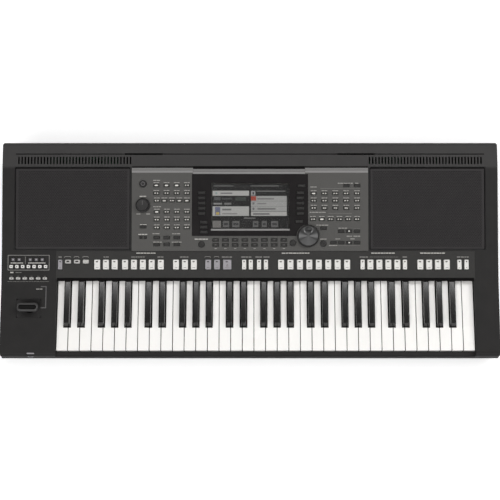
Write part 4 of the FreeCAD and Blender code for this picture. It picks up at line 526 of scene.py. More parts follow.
cadFinish = {
    "lower_case": trayPlastic, "upper_case": casePlastic, "button_strip": stripPlastic,
    "strip_board": boardLacquer,
    "control_panel": panelPaint, "panel_board": boardLacquer, "display_bezel": bezelGloss,
    "display_window": clearWindow, "display_module": socketPlastic, "speaker_boxes": speakerIron,
    "woofer_frames": speakerIron, "woofer_cones": conePaper, "tweeters": conePaper, "keybed_frame": bedSteel,
    "key_pivot_rod": brightSteel, "key_contact_board": boardLacquer, "key_contact_rubber": rubberSole,
    "key_stop_felts": pressedFelt, "main_board": boardLacquer, "power_board": boardLacquer,
    "heatsink": sinkAluminium, "audio_jacks": socketPlastic, "data_sockets": socketPlastic,
    "power_inlet": socketPlastic, "headphone_jack": socketPlastic, "case_screws": brightSteel,
    "joystick_housing": wellPlastic, "joystick_gimbal": wellPlastic,
}
for node, material in cadFinish.items():
    nodes[node].data.materials.clear()
    nodes[node].data.materials.append(material)
print("solids dressed:", len(cadFinish))

# keys: the solids stay, with their edges rounded
keyEdge = {"white": 0.7, "black": 1.7, "segments": 3, "weld": 0.004, "flat": 0.6, "angle": 38.0}


def roundEdges(piece, width):
    # loose triangles are welded, flat neighbours joined, edges sharper than the angle bevelled,
    # large faces kept flat
    weld = piece.modifiers.new("weld", "WELD")
    weld.merge_threshold = keyEdge["weld"] * mm
    planes = piece.modifiers.new("planes", "DECIMATE")
    planes.decimate_type = "DISSOLVE"
    planes.angle_limit = math.radians(keyEdge["flat"])
    bevel = piece.modifiers.new("edges", "BEVEL")
    bevel.width, bevel.segments = width * mm, keyEdge["segments"]
    bevel.limit_method, bevel.angle_limit = "ANGLE", math.radians(keyEdge["angle"])
    piece.data.shade_smooth()
    piece.modifiers.new("normals", "WEIGHTED_NORMAL")


for node, piece in nodes.items():
    if node.startswith("keys_"):
        kind = "black" if node.endswith("_sharp") else "white"
        piece.data.materials.clear()
        piece.data.materials.append(blackKey if kind == "black" else whiteKey)
        roundEdges(piece, keyEdge[kind])
print("keys rounded")

# caps of the strip: a scooped slab with a dark lens near its head and three faint bars;
# the first low ones carry a dark pad of painted shade for a hollow; each mark has a size and a pad of
# (height, corner)
lowCap = {"corner": 1.6, "edge": 0.9, "dish": 0.2, "hollow": (5.6, 4.2), "hollowPad": (0.2, 1.4),
          "hollowCount": 2}
stripCap = {"corner": 1.3, "edge": 0.9, "dish": 1.3, "tall": 12.0, "gap": 0.4,
            "lens": (4.6, 2.8), "lensPad": (0.22, 0.9), "lensDrop": 3.9, "lensLeft": 0.06,
            "bars": (0.02, -0.14, -0.32), "barSize": (0.64, 1.75), "barPad": (0.12, 0.2),
            "nodes": ("style_buttons", "narrow_strip_buttons", "registration_buttons", "part_buttons",
                      "one_touch_buttons", "grey_strip_buttons")}


def narrowed(boxes, gap):
    # each box drawn in by the gap on its four sides
    boxes[:, :, :2] += np.array([[gap], [-gap]])
    return boxes


def stripCaps(node):
    boxes = narrowed(solidBoxes(node, "strip"), stripCap["gap"])
    size = boxes[:, 1] - boxes[:, 0]
    isTall, isGrey = size[:, 1] > stripCap["tall"], node.startswith("grey")
    tall, low = boxes[isTall], boxes[~isTall]
    wide, deep = size[isTall, 0], size[isTall, 1]
    spots = onCap(tall, stripCap, -stripCap["lensLeft"] * wide, deep / 2 - stripCap["lensDrop"])
    parts = [(*capStack("strip", tall, stripCap), 0), marked("strip", spots, stripCap, "lens", 1)]
    share, thick = stripCap["barSize"]
    barSize = np.column_stack([share * wide, np.full(len(tall), thick)])
    for up in stripCap["bars"]:
        spots = onCap(tall, stripCap, 0.0, up * deep)
        parts.append((*padMarks("strip", spots, barSize, *stripCap["barPad"]), 2))
    if len(low):
        parts.append((*capStack("strip", low, lowCap), 3))
        low = low[:lowCap["hollowCount"]]
        hollow = (low[:, 1] - low[:, 0])[:, :2] - lowCap["hollow"]
        parts.append((*padMarks("strip", onCap(low, lowCap), hollow, *lowCap["hollowPad"]), 1))
    looks = [greyButton, darkInk, dimInk] if isGrey else [whiteButton, darkInk, greyButton]
    dress(node, ".caps", parts, looks + [barInk])


for node in stripCap["nodes"]:
    stripCaps(node)

# left block: dim upper notes, white lower notes with a dark middle, and a row of small white caps
blockCap = {"corner": 1.2, "edge": 0.6, "dish": 0.2, "gap": 0.45, "white": (2.6, 2.0), "whitePad": (0.1, 1.0),
            "dim": (5.0, 3.2), "dimPad": (0.1, 0.4)}
memoryCap = {"corner": 1.6, "edge": 0.6, "dish": 0.2, "slot": (1.5, 3.0), "slotPad": (0.1, 0.4)}
noteBoxes = narrowed(solidBoxes("scale_note_buttons", "strip"), blockCap["gap"])
isUpper = noteBoxes[:, 0, 1] > noteBoxes[:, 0, 1].mean()
upper, lower = noteBoxes[isUpper], noteBoxes[~isUpper]
dress("scale_note_buttons", ".caps",
      [(*capStack("strip", upper, blockCap), 0), (*capStack("strip", lower, blockCap), 1),
       marked("strip", onCap(lower, blockCap), blockCap, "white", 2),
       marked("strip", onCap(upper, blockCap), blockCap, "dim", 3)],
      [noteButton, whiteButton, darkInk, greyButton])
memoryBoxes = solidBoxes("scale_memory_buttons", "strip")
dress("scale_memory_buttons", ".caps",
      [(*capStack("strip", memoryBoxes, memoryCap), 0),
       marked("strip", onCap(memoryBoxes, memoryCap), memoryCap, "slot", 1)],
      [barInk, darkInk])
print("strip and block caps made")

# panel caps: pills with two windows each; some have one wide window, lit or dim, or a ring with a dark middle
pillCap = {"corner": 2.85, "edge": 0.7, "dish": 0.5, "perCorner": 6, "apart": 2.5, "up": 0.2,
           "window": (3.0, 2.7), "windowPad": (0.2, 1.1), "wide": (7.0, 2.9), "widePad": (0.25, 1.6),
           "pupil": (1.9, 1.9), "pupilPad": (0.1, 0.9), "pupilLift": 0.2,
           "style_select_buttons": {"lit": (0, 1, 2, 13), "dim": (9, 11, 12), "ring": ()},
           "voice_select_buttons": {"lit": (0, 16), "dim": (), "ring": (11, 12, 13)}}


def pillCaps(node):
    boxes = solidBoxes(node, "panel")
    lit, dim, ring = (list(pillCap[node][kind]) for kind in ("lit", "dim", "ring"))
    plain = np.delete(np.arange(len(boxes)), lit + dim + ring)
    parts = [(*capStack("panel", boxes, pillCap), 0)]
    for side in (-1, 1):
        spots = onCap(boxes[plain], pillCap, side * pillCap["apart"], pillCap["up"])
        parts.append(marked("panel", spots, pillCap, "window", 1))
    for chosen, mark in ((lit, 2), (dim + ring, 1)):
        if chosen:
            parts.append(marked("panel", onCap(boxes[chosen], pillCap), pillCap, "wide", mark))
    if ring:
        spots = onCap(boxes[ring], pillCap) + (0.0, 0.0, pillCap["pupilLift"])
        parts.append(marked("panel", spots, pillCap, "pupil", 3))
    dress(node, ".caps", parts, [pillButton, lensDim, lensGlow, darkInk])


pillCaps("style_select_buttons")
pillCaps("voice_select_buttons")

# plain caps: some with a round lamp, those beside the display with a line
plainCap = {"corner": 1.5, "edge": 0.7, "dish": 0.4, "lamp": (3.2, 2.8), "lampPad": (0.25, 1.3),
            "lamps": (4, 8), "line": (7.0, 0.6), "linePad": (0.08, 0.3)}


def plainCaps(node, lamps=(), isLined=False):
    boxes = solidBoxes(node, "panel")
    parts = [(*capStack("panel", boxes, plainCap), 0)]
    if lamps:
        parts.append(marked("panel", onCap(boxes[list(lamps)], plainCap), plainCap, "lamp", 1))
    if isLined:
        parts.append(marked("panel", onCap(boxes, plainCap), plainCap, "line", 2))
    dress(node, ".caps", parts, [darkButton, lensGlow, dimInk])


plainCaps("left_function_buttons")
plainCaps("right_function_buttons", plainCap["lamps"])
plainCaps("display_side_buttons", isLined=True)

# below the display: rocker caps with a bar across, and dished round caps of (inset, drop) rows
valueCap = {"corner": 1.7, "edge": 0.7, "dish": 0.35, "bar": (4.6, 0.7), "barPad": (0.08, 0.3),
            "roundWithin": 0.5, "round": ((0, 0.8), (0.2, 0.3), (0.7, 0), (1.4, 0.1), (3.6, 0.5)),
            "roundMiddle": ((0.4, 0.6),), "around": 48}


def middleOf(box):
    # middle across and along, half the width, foot and top
    low, high = box
    return (low[0] + high[0]) / 2, (low[1] + high[1]) / 2, (high[0] - low[0]) / 2, low[2], high[2]


def roundCap(box):
    # flat skirt, rounded shoulder, then a shallow bowl
    x, run, radius, low, top = middleOf(box)
    bowl = fromRim(radius, top, valueCap["round"]) + fromAxis(top, valueCap["roundMiddle"])
    return turned("panel", x, run, [(radius, low)] + bowl, valueCap["around"])


displayBoxes = solidBoxes("display_buttons", "panel")
displaySize = displayBoxes[:, 1] - displayBoxes[:, 0]
isRound = np.abs(displaySize[:, 0] - displaySize[:, 1]) < valueCap["roundWithin"]
valueBoxes = displayBoxes[~isRound]
dress("display_buttons", ".caps",
      [(*capStack("panel", valueBoxes, valueCap), 0),
       marked("panel", onCap(valueBoxes, valueCap), valueCap, "bar", 1)]
      + [(*roundCap(box), 0) for box in displayBoxes[isRound]],
      [darkButton, dimInk])

# power cap: raised rim in (inset, drop) rows; its floor, a grey ring and a hub in (radius, drop) rows
powerCap = {"around": 56, "rim": ((0, 0.7), (0.3, 0.2), (0.8, 0), (1.8, 0), (2.6, 0.5)),
            "floor": ((1.4, 0.7), (0.3, 0.7)),
            "ring": ((4.2, 0.9), (4.2, 0.45), (3.9, 0.35), (3.3, 0.4), (0.2, 0.5)),
            "hub": ((2.9, 0.9), (2.9, 0.35), (2.5, 0.25), (0.2, 0.25))}
x, run, radius, low, top = middleOf(solidBoxes("power_button", "panel")[0])
powerRim = [(radius, low)] + fromRim(radius, top, powerCap["rim"]) + fromAxis(top, powerCap["floor"])
dress("power_button", ".cap",
      [(*turned("panel", x, run, powerRim, powerCap["around"]), 0),
       (*turned("panel", x, run, fromAxis(top, powerCap["ring"]), sides), 1),
       (*turned("panel", x, run, fromAxis(top, powerCap["hub"]), sides), 2)],
      [rimPlastic, noteButton, knobPlastic])
print("panel caps made")

# volume knob: smooth dark skirt, fluted grip, dished top and a pointer; rows of (inset, drop)
panelTop = 3.0
knob = {"hub": 3.0, "clear": 0.5, "skirt": 3.0, "grip": 0.85, "around": 192, "skirtRows": 7,
        "skirtFoot": ((0.4, 0), (0, -0.4)), "skirtHead": ((0, 0.8), (0.3, 0.3), (1.2, 0)),
        "gripFoot": ((0, -0.2), (0.2, -1.2)),
        "gripHead": ((0.6, 1.2), (0.8, 0.5), (1.4, 0.1), (2.0, 0), (2.7, 0.15), (5.3, 0.5)),
        "middle": ((0.3, 0.6),), "flutes": 24, "flute": 0.35, "fluteFrom": 0.1, "fluteTo": 1.7,
        "pointerWide": 1.1, "pointerRun": (0.6, 8.6), "pointerLift": (0.9, 0.12)}
x, run, radius, low, top = middleOf(solidBoxes("volume_knob", "panel")[0])
foot, grip = panelTop + knob["clear"], knob["grip"] * radius
shoulder = foot + knob["skirt"]
knobProfile = [(knob["hub"], low), (knob["hub"], foot), *fromRim(radius, foot, knob["skirtFoot"]),
               *fromRim(radius, shoulder, knob["skirtHead"]), *fromRim(grip, shoulder, knob["gripFoot"]),
               *fromRim(grip, top, knob["gripHead"]), *fromAxis(top, knob["middle"])]


def flutes(angle, profile):
    # cosine ripple on the grip only: between the skirt and the top edge
    onGrip = (profile[:, 1:2] > shoulder + knob["fluteFrom"]) & (profile[:, :1] > grip - knob["fluteTo"])
    return np.where(onGrip, knob["flute"] * np.cos(knob["flutes"] * angle) - knob["flute"], 0.0)


halfWide, (near, far), (sunk, drop) = knob["pointerWide"] / 2, knob["pointerRun"], knob["pointerLift"]
pointer = (x - halfWide, x + halfWide, run + near, run + far, top - sunk, top - drop)
spun = turned("panel", x, run, knobProfile, knob["around"], flutes)
skirtCount = knob["skirtRows"] * knob["around"]
dress("volume_knob", ".turned", [*twoTone(*spun, skirtCount, 2, 0), (*slabs("panel", [pointer]), 1)],
      [knobPlastic, noteButton, rimPlastic])

# data dial: dark rim, spun face on a polar grid with a round finger dimple and its lip
# the dial's tones are painted light: reflection bands on the face, shade in the dimple, glints on its lip
dial = {"rim": 3.1, "reach": 11.8, "dimple": 7.9, "depth": 2.2, "bowlPower": 1.2, "around": 160, "rings": 48,
        "lip": (0.4, 1.06, 0.1), "hub": 0.25, "sunk": 0.45, "cone": 0.35, "bowlBlend": 0.12,
        "rimFoot": ((0.3, 0), (0, -0.4)),
        "rimHead": ((0, 1.6), (0.3, 0.6), (0.9, 0.1), (1.7, 0), (2.5, 0.15), (3.0, 0.5)),
        "tone": 80, "rimTone": 45.0, "glints": (200, 340), "glint": (110, 20, 0.95, 0.16),
        "bands": ((0, 28, 18), (180, 28, 18), (-22, -32, 9), (202, -32, 9), (36, -36, 16), (144, -36, 16),
                  (270, 8, 24)),
        "bowlTone": ((0.0, 0.25, 0.42, 0.62, 0.85, 1.0), (100, 64, 8, 60, 42, 92))}
x, run, radius, low, top = middleOf(solidBoxes("data_dial", "panel")[0])
angle = np.arange(dial["around"]) * 2 * math.pi / dial["around"]
distance = np.linspace(radius - dial["rim"], dial["hub"], dial["rings"])[:, None]
across, along = distance * np.cos(angle), distance * np.sin(angle)
away = np.hypot(across, along - dial["reach"]) / dial["dimple"]
bowl = dial["depth"] * np.clip(1 - away ** 2, 0, 1) ** dial["bowlPower"]
lipHigh, lipAt, lipWide = dial["lip"]
lip = lipHigh * np.exp(-((away - lipAt) / lipWide) ** 2)
spunLift = top - dial["sunk"] - bowl + lip - dial["cone"] * (1 - distance / radius)
rimRows = np.array([(knob["hub"], low), (knob["hub"], foot), *fromRim(radius, foot, dial["rimFoot"]),
                    *fromRim(radius, top, dial["rimHead"])])
circle = np.stack([np.cos(angle), np.sin(angle)], axis=-1)
rimRings = withLift(rimRows[:, :1, None] * circle + (x, run), rimRows[:, 1])
spunRings = np.stack([x + across, run + along, spunLift], axis=-1)
spun = stackOn("panel", np.concatenate([rimRings, spunRings])[None])
dialParts = twoTone(*spun, len(rimRows) * dial["around"], 0, 1)
dialPiece = dress("data_dial", ".turned", dialParts, [rimPlastic, dialFace])


def nearTurn(turn, centre, spread):
    # bell curve on the shortest way round from one angle to another, in degrees
    return np.exp(-(((turn - centre + 180) % 360 - 180) / spread) ** 2)


def paintedSpunReflections():
    # painted reflections of spun metal: bell-shaped light and dark bands about the axis; in the dimple
    # painted shade by height, dark in the middle, with two painted glints on the lip
    turn = np.degrees(np.arctan2(along, across))
    face = dial["tone"] + sum(gain * nearTurn(turn, centre, spread) for centre, gain, spread in dial["bands"])
    fall = np.clip((along - dial["reach"]) / dial["dimple"] / 2 + 0.5, 0, 1)
    inside = np.interp(fall, *dial["bowlTone"])
    share = np.clip((1 - away) / dial["bowlBlend"], 0, 1)
    lipTurn = np.degrees(np.arctan2(along - dial["reach"], across))
    gain, spread, glintAt, glintWide = dial["glint"]
    glint = sum(nearTurn(lipTurn, centre, spread) for centre in dial["glints"])
    glint = glint * np.exp(-((away - glintAt) / glintWide) ** 2)
    tone = face * (1 - share) + inside * share + gain * glint
    tone = np.concatenate([np.full(rimRings.shape[:2], dial["rimTone"]), np.broadcast_to(tone, across.shape)])
    greys = np.array([paint(one, one, one) for one in range(256)])
    return greys[np.clip(np.round(tone.ravel()), 0, 255).astype(int)]


def setTint(piece, colours):
    layer = piece.data.attributes.new("tint", "FLOAT_COLOR", "POINT")
    layer.data.foreach_set("color", colours.astype(np.float32).ravel())


setTint(dialPiece, np.tile(paintedSpunReflections(), (2, 1)))
print("knobs turned")

# joystick: rounded cap with a pill-shaped hollow, painted dark as shade, on a neck that flares into it;
# the cap's foot in (inset, rise) rows, its hollow in (inset, drop) rows
stick = {"corner": 7.0, "leastCorner": 0.6, "edge": 2.2, "edgeSteps": 6, "perCorner": 8, "thick": 8.0,
         "slim": 1.0, "foot": ((6.0, 0.0), (1.4, 0.0), (0.3, 0.4), (0.0, 1.4)), "hollow": (36.0, 9.0),
         "hollowCorner": 4.2, "sink": ((0.0, 0.0), (0.5, 0.5), (0.9, 1.6), (1.6, 2.2)), "neck": 5.0,
         "neckFoot": (4.0, 1.0), "flare": (8.6, 7.0), "neckTop": (0.5, 0.3)}
lever = solidBoxes("joystick_lever", "cheek")[0]
x, run, halfWide, low, top = middleOf(lever)
wide, deep, capFoot = 2 * halfWide, lever[1][1] - lever[0][1] - 2 * stick["slim"], top - stick["thick"]
rounding = edgeRound(stick["edge"], stick["edgeSteps"])
footRows, sink = np.array(stick["foot"]), np.array(stick["sink"])
insets = np.concatenate([footRows[:, 0], rounding[:, 0]])
corner = np.maximum(stick["corner"] - insets, stick["leastCorner"])
outer = softCorners(wide - 2 * insets, deep - 2 * insets, corner, stick["perCorner"])
hollowWide, hollowDeep = (size - 2 * sink[:, 0] for size in stick["hollow"])
inner = softCorners(hollowWide, hollowDeep, stick["hollowCorner"] - sink[:, 0], stick["perCorner"])
lifts = np.concatenate([capFoot + footRows[:, 1], top - rounding[:, 1], top - sink[:, 1]])
rings = withLift(np.concatenate([outer, inner]) + (x, run), lifts)
capParts = twoTone(*stackOn("cheek", rings[None]), len(insets) * rings.shape[1], 0, 1)
neckWide, (footWide, footRise), (flare, flareRise) = stick["neck"], stick["neckFoot"], stick["flare"]
topWide, topRise = stick["neckTop"]
neck = [(footWide, low), (neckWide, low + footRise), (neckWide, capFoot - flareRise), (flare, capFoot),
        (topWide, capFoot + topRise)]
dress("joystick_lever", ".cap", [*capParts, (*turned("cheek", x, run, neck, sides), 1)],
      [leverPlastic, trayPlastic])

# dish that closes the well around the neck: from a round opening up to the well's edge, a thin shell,
# with painted light: paler in its upper rows on the player's side, the rest in the well's colour
dish = {"edge": (49.6, 37.6, 5.0), "lift": -0.5, "open": 9.5, "drop": -7.5, "shell": 0.8, "rows": 8,
        "paleRows": 4, "around": 96, "shadeFrom": 6.0, "rise": 1.5, "perCorner": 8}


def evenly(ring, count):
    # points at equal steps along the closed outline, by its running length
    closed = np.vstack([ring, ring[:1]])
    reach = np.concatenate([[0.0], np.cumsum(np.linalg.norm(np.diff(closed, axis=0), axis=1))])
    steps = np.arange(count) * reach[-1] / count
    return np.column_stack([np.interp(steps, reach, closed[:, axis]) for axis in (0, 1)])


share = np.linspace(0, 1, dish["rows"])[:, None, None]
edgeRing = evenly(softCorners(*dish["edge"], dish["perCorner"]), dish["around"])
openRing = dish["open"] * edgeRing / np.linalg.norm(edgeRing, axis=-1, keepdims=True)
flat = openRing + (edgeRing - openRing) * share + (x, run)
lift = dish["drop"] + (dish["lift"] - dish["drop"]) * share[:, 0, 0] ** dish["rise"]
shell = np.concatenate([withLift(flat[::-1], lift[::-1]), withLift(flat, lift - dish["shell"])])
points, (quads,) = stackOn("cheek", shell[None], looped=True)
isPaintedLit = np.zeros(shell.shape[:2], bool)
isPaintedLit[:dish["paleRows"]] = shell[:dish["paleRows"], :, 1] < run + dish["shadeFrom"]
isPaintedLit = isPaintedLit.ravel()
pour("joystickDish", "case", [(points, [quads[isPaintedLit]], 0), (points, [quads[~isPaintedLit]], 1)],
     [dishPlastic, wellPlastic])
print("joystick made")

# grilles: brick-laid cells with six-sided holes inside a plain rim, over a dark backing plate; a dark strip
# of painted shade in the seam
grille = {"pitch": 3.5, "open": 0.33, "rim": 4.6, "corner": 2.0, "sheet": 0.8, "seam": 0.8, "outerSeam": 1.8,
          "headSeam": 3.0, "gasket": 0.5, "edge": 0.7, "soften": 0.2, "overlap": 0.02, "holeCorner": 0.06,
          "perCorner": 6, "backing": (0.5, 0.9), "backingGap": 0.1}


def perforated(low, high, top):
    # each cell: a ring of six border points to six hole points, over and under; odd rows shift half a pitch
    columns = int((high[0] - low[0]) / grille["pitch"])
    lines = int((high[1] - low[1]) / (grille["pitch"] * math.sqrt(0.75)))
    wide, tall = (high[0] - low[0]) / columns, (high[1] - low[1]) / lines
    line, column = np.divmod(np.arange(lines * columns), columns)
    odd = line % 2 == 1
    keep = ~(odd & (column == columns - 1))
    across = low[0] + (column + 0.5 + 0.5 * odd) * wide
    centre = np.stack([across, low[1] + (line + 0.5) * tall], axis=-1)[keep]
    border = np.array([(1, -1), (1, 1), (0, 1), (-1, 1), (-1, -1), (0, -1)]) * (wide / 2, tall / 2)
    turn = np.radians([-30, 30, 90, 150, 210, 270])
    hole = grille["open"] * wide * np.stack([np.cos(turn), np.sin(turn)], axis=-1)
    under = top - grille["sheet"]
    flat = centre[:, None, None] + np.stack([border, hole, hole, border])
    points, (quads,) = ringStack(withLift(flat, np.array([top, top, under, under])), capped=False)
    # plain half cells at both ends of the odd rows
    foot = low[1] + np.tile(np.arange(1, lines, 2), 2) * tall
    left = np.repeat([low[0], high[0] - wide / 2], len(foot) // 2)
    side, up = np.array([0, 1, 1, 0]) * wide / 2, np.array([0, 0, 1, 1]) * tall
    lid = np.stack([left[:, None] + side, foot[:, None] + up], axis=-1)
    lids = withLift(np.stack([lid, lid], axis=1), np.array([top, under])).reshape(-1, 3)
    lidQuads = np.arange(len(lids)).reshape(-1, 2, 4) + len(points)
    lidQuads[:, 1] = lidQuads[:, 1, ::-1]
    return closedSheet(np.concatenate([points, lids]), np.concatenate([quads, lidQuads.reshape(-1, 4)]))


def closedSheet(points, quads):
    # corners at one place are joined; an upper edge used once gets a wall down to the twin corners below it
    grid = weldGrid["sheet"]
    key, back = np.unique(np.round(points * grid).astype(np.int64), axis=0, return_inverse=True)
    quads = back.ravel()[quads]
    edges = np.stack([quads, np.roll(quads, -1, axis=1)], axis=-1).reshape(-1, 2)
    used = np.unique(np.sort(edges, axis=1), axis=0, return_inverse=True, return_counts=True)
    single = edges[used[2][used[1].ravel()] == 1]
    single = single[(key[single][:, :, 2] == key[:, 2].max()).all(axis=1)]
    order = np.lexsort((key[:, 2], key[:, 1], key[:, 0]))
    below = np.empty(len(key), np.int64)
    below[order] = np.roll(order, 1)
    walls = np.stack([single[:, 1], single[:, 0], below[single[:, 0]], below[single[:, 1]]], axis=-1)
    return key / float(grid), [np.concatenate([quads, walls])]


def grilleSheet(name, low, high):
    foot, top = low[2], high[2]
    isLeft = low[0] < 0
    seamLow = low[:2] + (grille["outerSeam"] if isLeft else grille["seam"], grille["seam"])
    seamHigh = high[:2] - (grille["seam"] if isLeft else grille["outerSeam"], grille["headSeam"])
    holeLow, holeHigh = seamLow + grille["rim"], seamHigh - grille["rim"]
    points, faces = perforated(holeLow, holeHigh, top)
    parts = [(onFace("panel", points), faces, 0)]
    # rim section, from the foot of the painted-shade strip in the seam up and over to the sheet's edge
    flange, edge, soften = foot + grille["gasket"], grille["edge"], grille["soften"]
    outer, seam, hole = (low[:2], high[:2]), (seamLow, seamHigh), (holeLow, holeHigh)
    rows = [(*outer, 0.0, foot), (*outer, 0.0, flange), (*seam, 0.0, flange), (*seam, 0.0, top - edge),
            (*seam, soften, top - soften), (*seam, edge, top), (*hole, None, top + grille["overlap"]),
            (*hole, None, foot)]
    flat = []
    for near, far, inset, lift in rows:
        size, corner = far - near, grille["holeCorner"]
        if inset is not None:
            size, corner = size - 2 * inset, grille["corner"] - inset
        flat.append(softCorners(*size, corner, grille["perCorner"]) + (near + far) / 2)
    section = stackOn("panel", withLift(np.array(flat), [row[3] for row in rows])[None], looped=True)
    # the two lowest rows, down in the seam, are dark painted shade
    parts += twoTone(*section, 2 * len(flat[0]), 2, 1)
    (left, front), (right, back) = holeLow + grille["backingGap"], holeHigh - grille["backingGap"]
    backing = [(left, right, front, back, *(foot + lift for lift in grille["backing"]))]
    parts.append((*slabs("panel", backing), 3))
    return pour(name, "case", parts, [grillePaint, grilleRim, shadeLine, backingDark])


grilleBoxes = solidBoxes("speaker_grilles", "panel")
grillePieces = [grilleSheet(name, *box) for name, box in zip(("grilleLeft", "grilleRight"), grilleBoxes)]
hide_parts("speaker_grilles")
print("grilles perforated")

# painted highlight over the bevelled head of the panel: a lighter lower band, a darker upper one,
# and a dark line of painted shade at the head
bevelHighlight = {"spans": ((-240.3, -116.2, 170.0), (-115.8, 111.8, 167.6), (112.2, 240.3, 170.0)), "sheet": 0.18,
        "foot": 0.6, "bevel": (12.0, 2.4), "inset": 0.1, "bands": ((12.0, 7.2), (6.3, 2.0), (2.0, 0.2))}


def highlightBand(left, right, end, near, far, mark):
    # four-point section on the bevel, carried from right to left
    bevelRun, bevelDrop = bevelHighlight["bevel"]
    across = np.array([near, near, far, far])
    rise = np.array([-bevelHighlight["foot"], bevelHighlight["sheet"], bevelHighlight["sheet"], -bevelHighlight["foot"]])
    lift = panelTop - (1 - across / bevelRun) * bevelDrop + rise
    section = np.stack([end - bevelHighlight["inset"] - across, lift], axis=-1)
    rings = np.stack([np.column_stack([np.full(4, at), section]) for at in (right, left)])
    return (*stackOn("panel", rings[None]), mark)


bands = [highlightBand(*span, *band, mark) for span in bevelHighlight["spans"] for mark, band in enumerate(bevelHighlight["bands"])]
pour("panelTrim", "case", bands, [trimPaint, trimDark, shadeLine])
# fillers at the panel's foot and the bezel's head; the head rows are dark plates of painted shade along the
# panel's head
seamFillAndShade = {"foot": [(-240.3, 240.3, -1.5, 1.2, -0.5, 2.9)], "bezel": [(-118.0, 118.0, 153.8, 155.1, 2.4, 3.06)],
         "head": [(-240.3, 240.3, 170.0, 171.5, -0.6, 0.12), (-115.8, 111.8, 167.6, 170.0, -0.6, 0.12)]}
plate("panelFoot", "panel", seamFillAndShade["foot"], panelPaint)
plate("bezelHead", "panel", seamFillAndShade["bezel"], bezelGloss)
plate("headSeam", "panel", seamFillAndShade["head"], shadeLine)

# printed marks: thin plates of ink, with seeded dashes where captions stand
ink = {"sunk": 0.05, "thick": 0.05, "gap": 0.9, "word": 6.0}


def bar(x0, x1, run0, run1, lift=0.0):
    return (x0, x1, run0, run1, lift - ink["sunk"], lift + ink["thick"])


def captions(rows, tall, lift=0.0):
    # each (x0, x1, run) row becomes dashes whose random lengths share its width
    dashes = []
    for x0, x1, run in rows:
        words = max(1, round((x1 - x0) / ink["word"]))
        lengths = seed.uniform(0.6, 1.4, words)
        lengths *= (x1 - x0 - ink["gap"] * (words - 1)) / lengths.sum()
        starts = x0 + np.cumsum(lengths + ink["gap"]) - lengths - ink["gap"]
        dashes += [bar(a, a + b, run - tall / 2, run + tall / 2, lift) for a, b in zip(starts, lengths)]
    return dashes


def centred(pairs, run):
    # (middle, width) pairs to rows at one run
    return [(x - width / 2, x + width / 2, run) for x, width in pairs]


def rowsAbove(spots, width, up):
    # rows of one width, centred over (x, run) spots
    return [(x - width / 2, x + width / 2, run + up) for x, run in spots]


def outlineBars(x0, x1, run0, run1, thick):
    # four bars round a rectangle
    return [bar(x0, x1, run0, run0 + thick), bar(x0, x1, run1 - thick, run1),
            bar(x0, x0 + thick, run0 + thick, run1 - thick), bar(x1 - thick, x1, run0 + thick, run1 - thick)]


def arch(x, run, width, tall=2.6, thick=0.8):
    # a bar with two short legs
    left, right, foot, head = x - width / 2, x + width / 2, run - tall / 2, run + tall / 2
    return [bar(left + thick, right - thick, head - thick, head),
            bar(left, left + thick, foot, head - thick), bar(right - thick, right, foot, head - thick)]


def spotsOf(node, face):
    return solidBoxes(node, face).mean(axis=1)[:, :2]


# panel captions: (x0, x1, run) of each line of print, and how tall each kind is
panelInk = {
    "bright": [(-223.4, -210.6, 51.7), (-226.9, -208.8, 32.1), (-112.5, -85.6, 22.5),
               (-224.6, -211.2, 109.6)],
    "plain": [(-197.0, -183.0, 142.2), (-197.0, -181.0, 88.5), (-198.0, -184.0, 33.4), (-158.0, -142.0, 33.4),
              (-197.0, -179.0, 16.4), (-159.0, -139.0, 16.4), (-231.0, -223.0, 73.6), (-211.0, -203.0, 73.6),
              (178.6, 209.4, 136.3), (214.0, 220.4, 136.3), (122.9, 135.6, 128.7), (121.2, 154.1, 77.1),
              (134.7, 158.8, 50.9), (179.9, 197.2, 44.8), (196.4, 207.4, 28.4), (210.2, 223.7, 28.4),
              (173.6, 183.2, 22.9), (203.9, 212.7, 22.9), (142.3, 155.4, 22.5), (160.4, 176.8, 9.5)],
    "lines": [(143.1, 223.7, 125.5), (159.0, 207.0, 74.6), (210.2, 223.7, 43.2), (177.5, 223.7, 9.5)],
    "pill": (11.5, 5.7), "rocker": (4.6, 3.4),
    "tall": {"bright": 2.0, "plain": 1.7, "pill": 1.6, "rocker": 1.2, "lines": 0.7},
}
tall = panelInk["tall"]
brightMarks = captions(panelInk["bright"], tall["bright"], panelTop)
plainMarks = captions(panelInk["plain"], tall["plain"], panelTop)
for node in ("style_select_buttons", "voice_select_buttons"):
    plainMarks += captions(rowsAbove(spotsOf(node, "panel"), *panelInk["pill"]), tall["pill"], panelTop)
rockers = valueBoxes.mean(axis=1)[:, :2]
rockers = rockers[rockers[:, 1] < rockers[:, 1].mean()]
rockerWide, rockerRun = panelInk["rocker"]
rockerRows = centred([(x, rockerWide) for x in rockers[:, 0]], rockerRun)
plainMarks += captions(rockerRows, tall["rocker"], panelTop)
thinMarks = [bar(x0, x1, run, run + tall["lines"], panelTop) for x0, x1, run in panelInk["lines"]]


def printed(name, face, kinds, inks):
    # one mesh of thin plates, each kind of mark in its own ink
    pour(name, "case", [(*slabs(face, marks), kind) for kind, marks in enumerate(kinds)], inks)


printed("panelPrint", "panel", (brightMarks, plainMarks, thinMarks), [markInk, captionInk, dimInk])

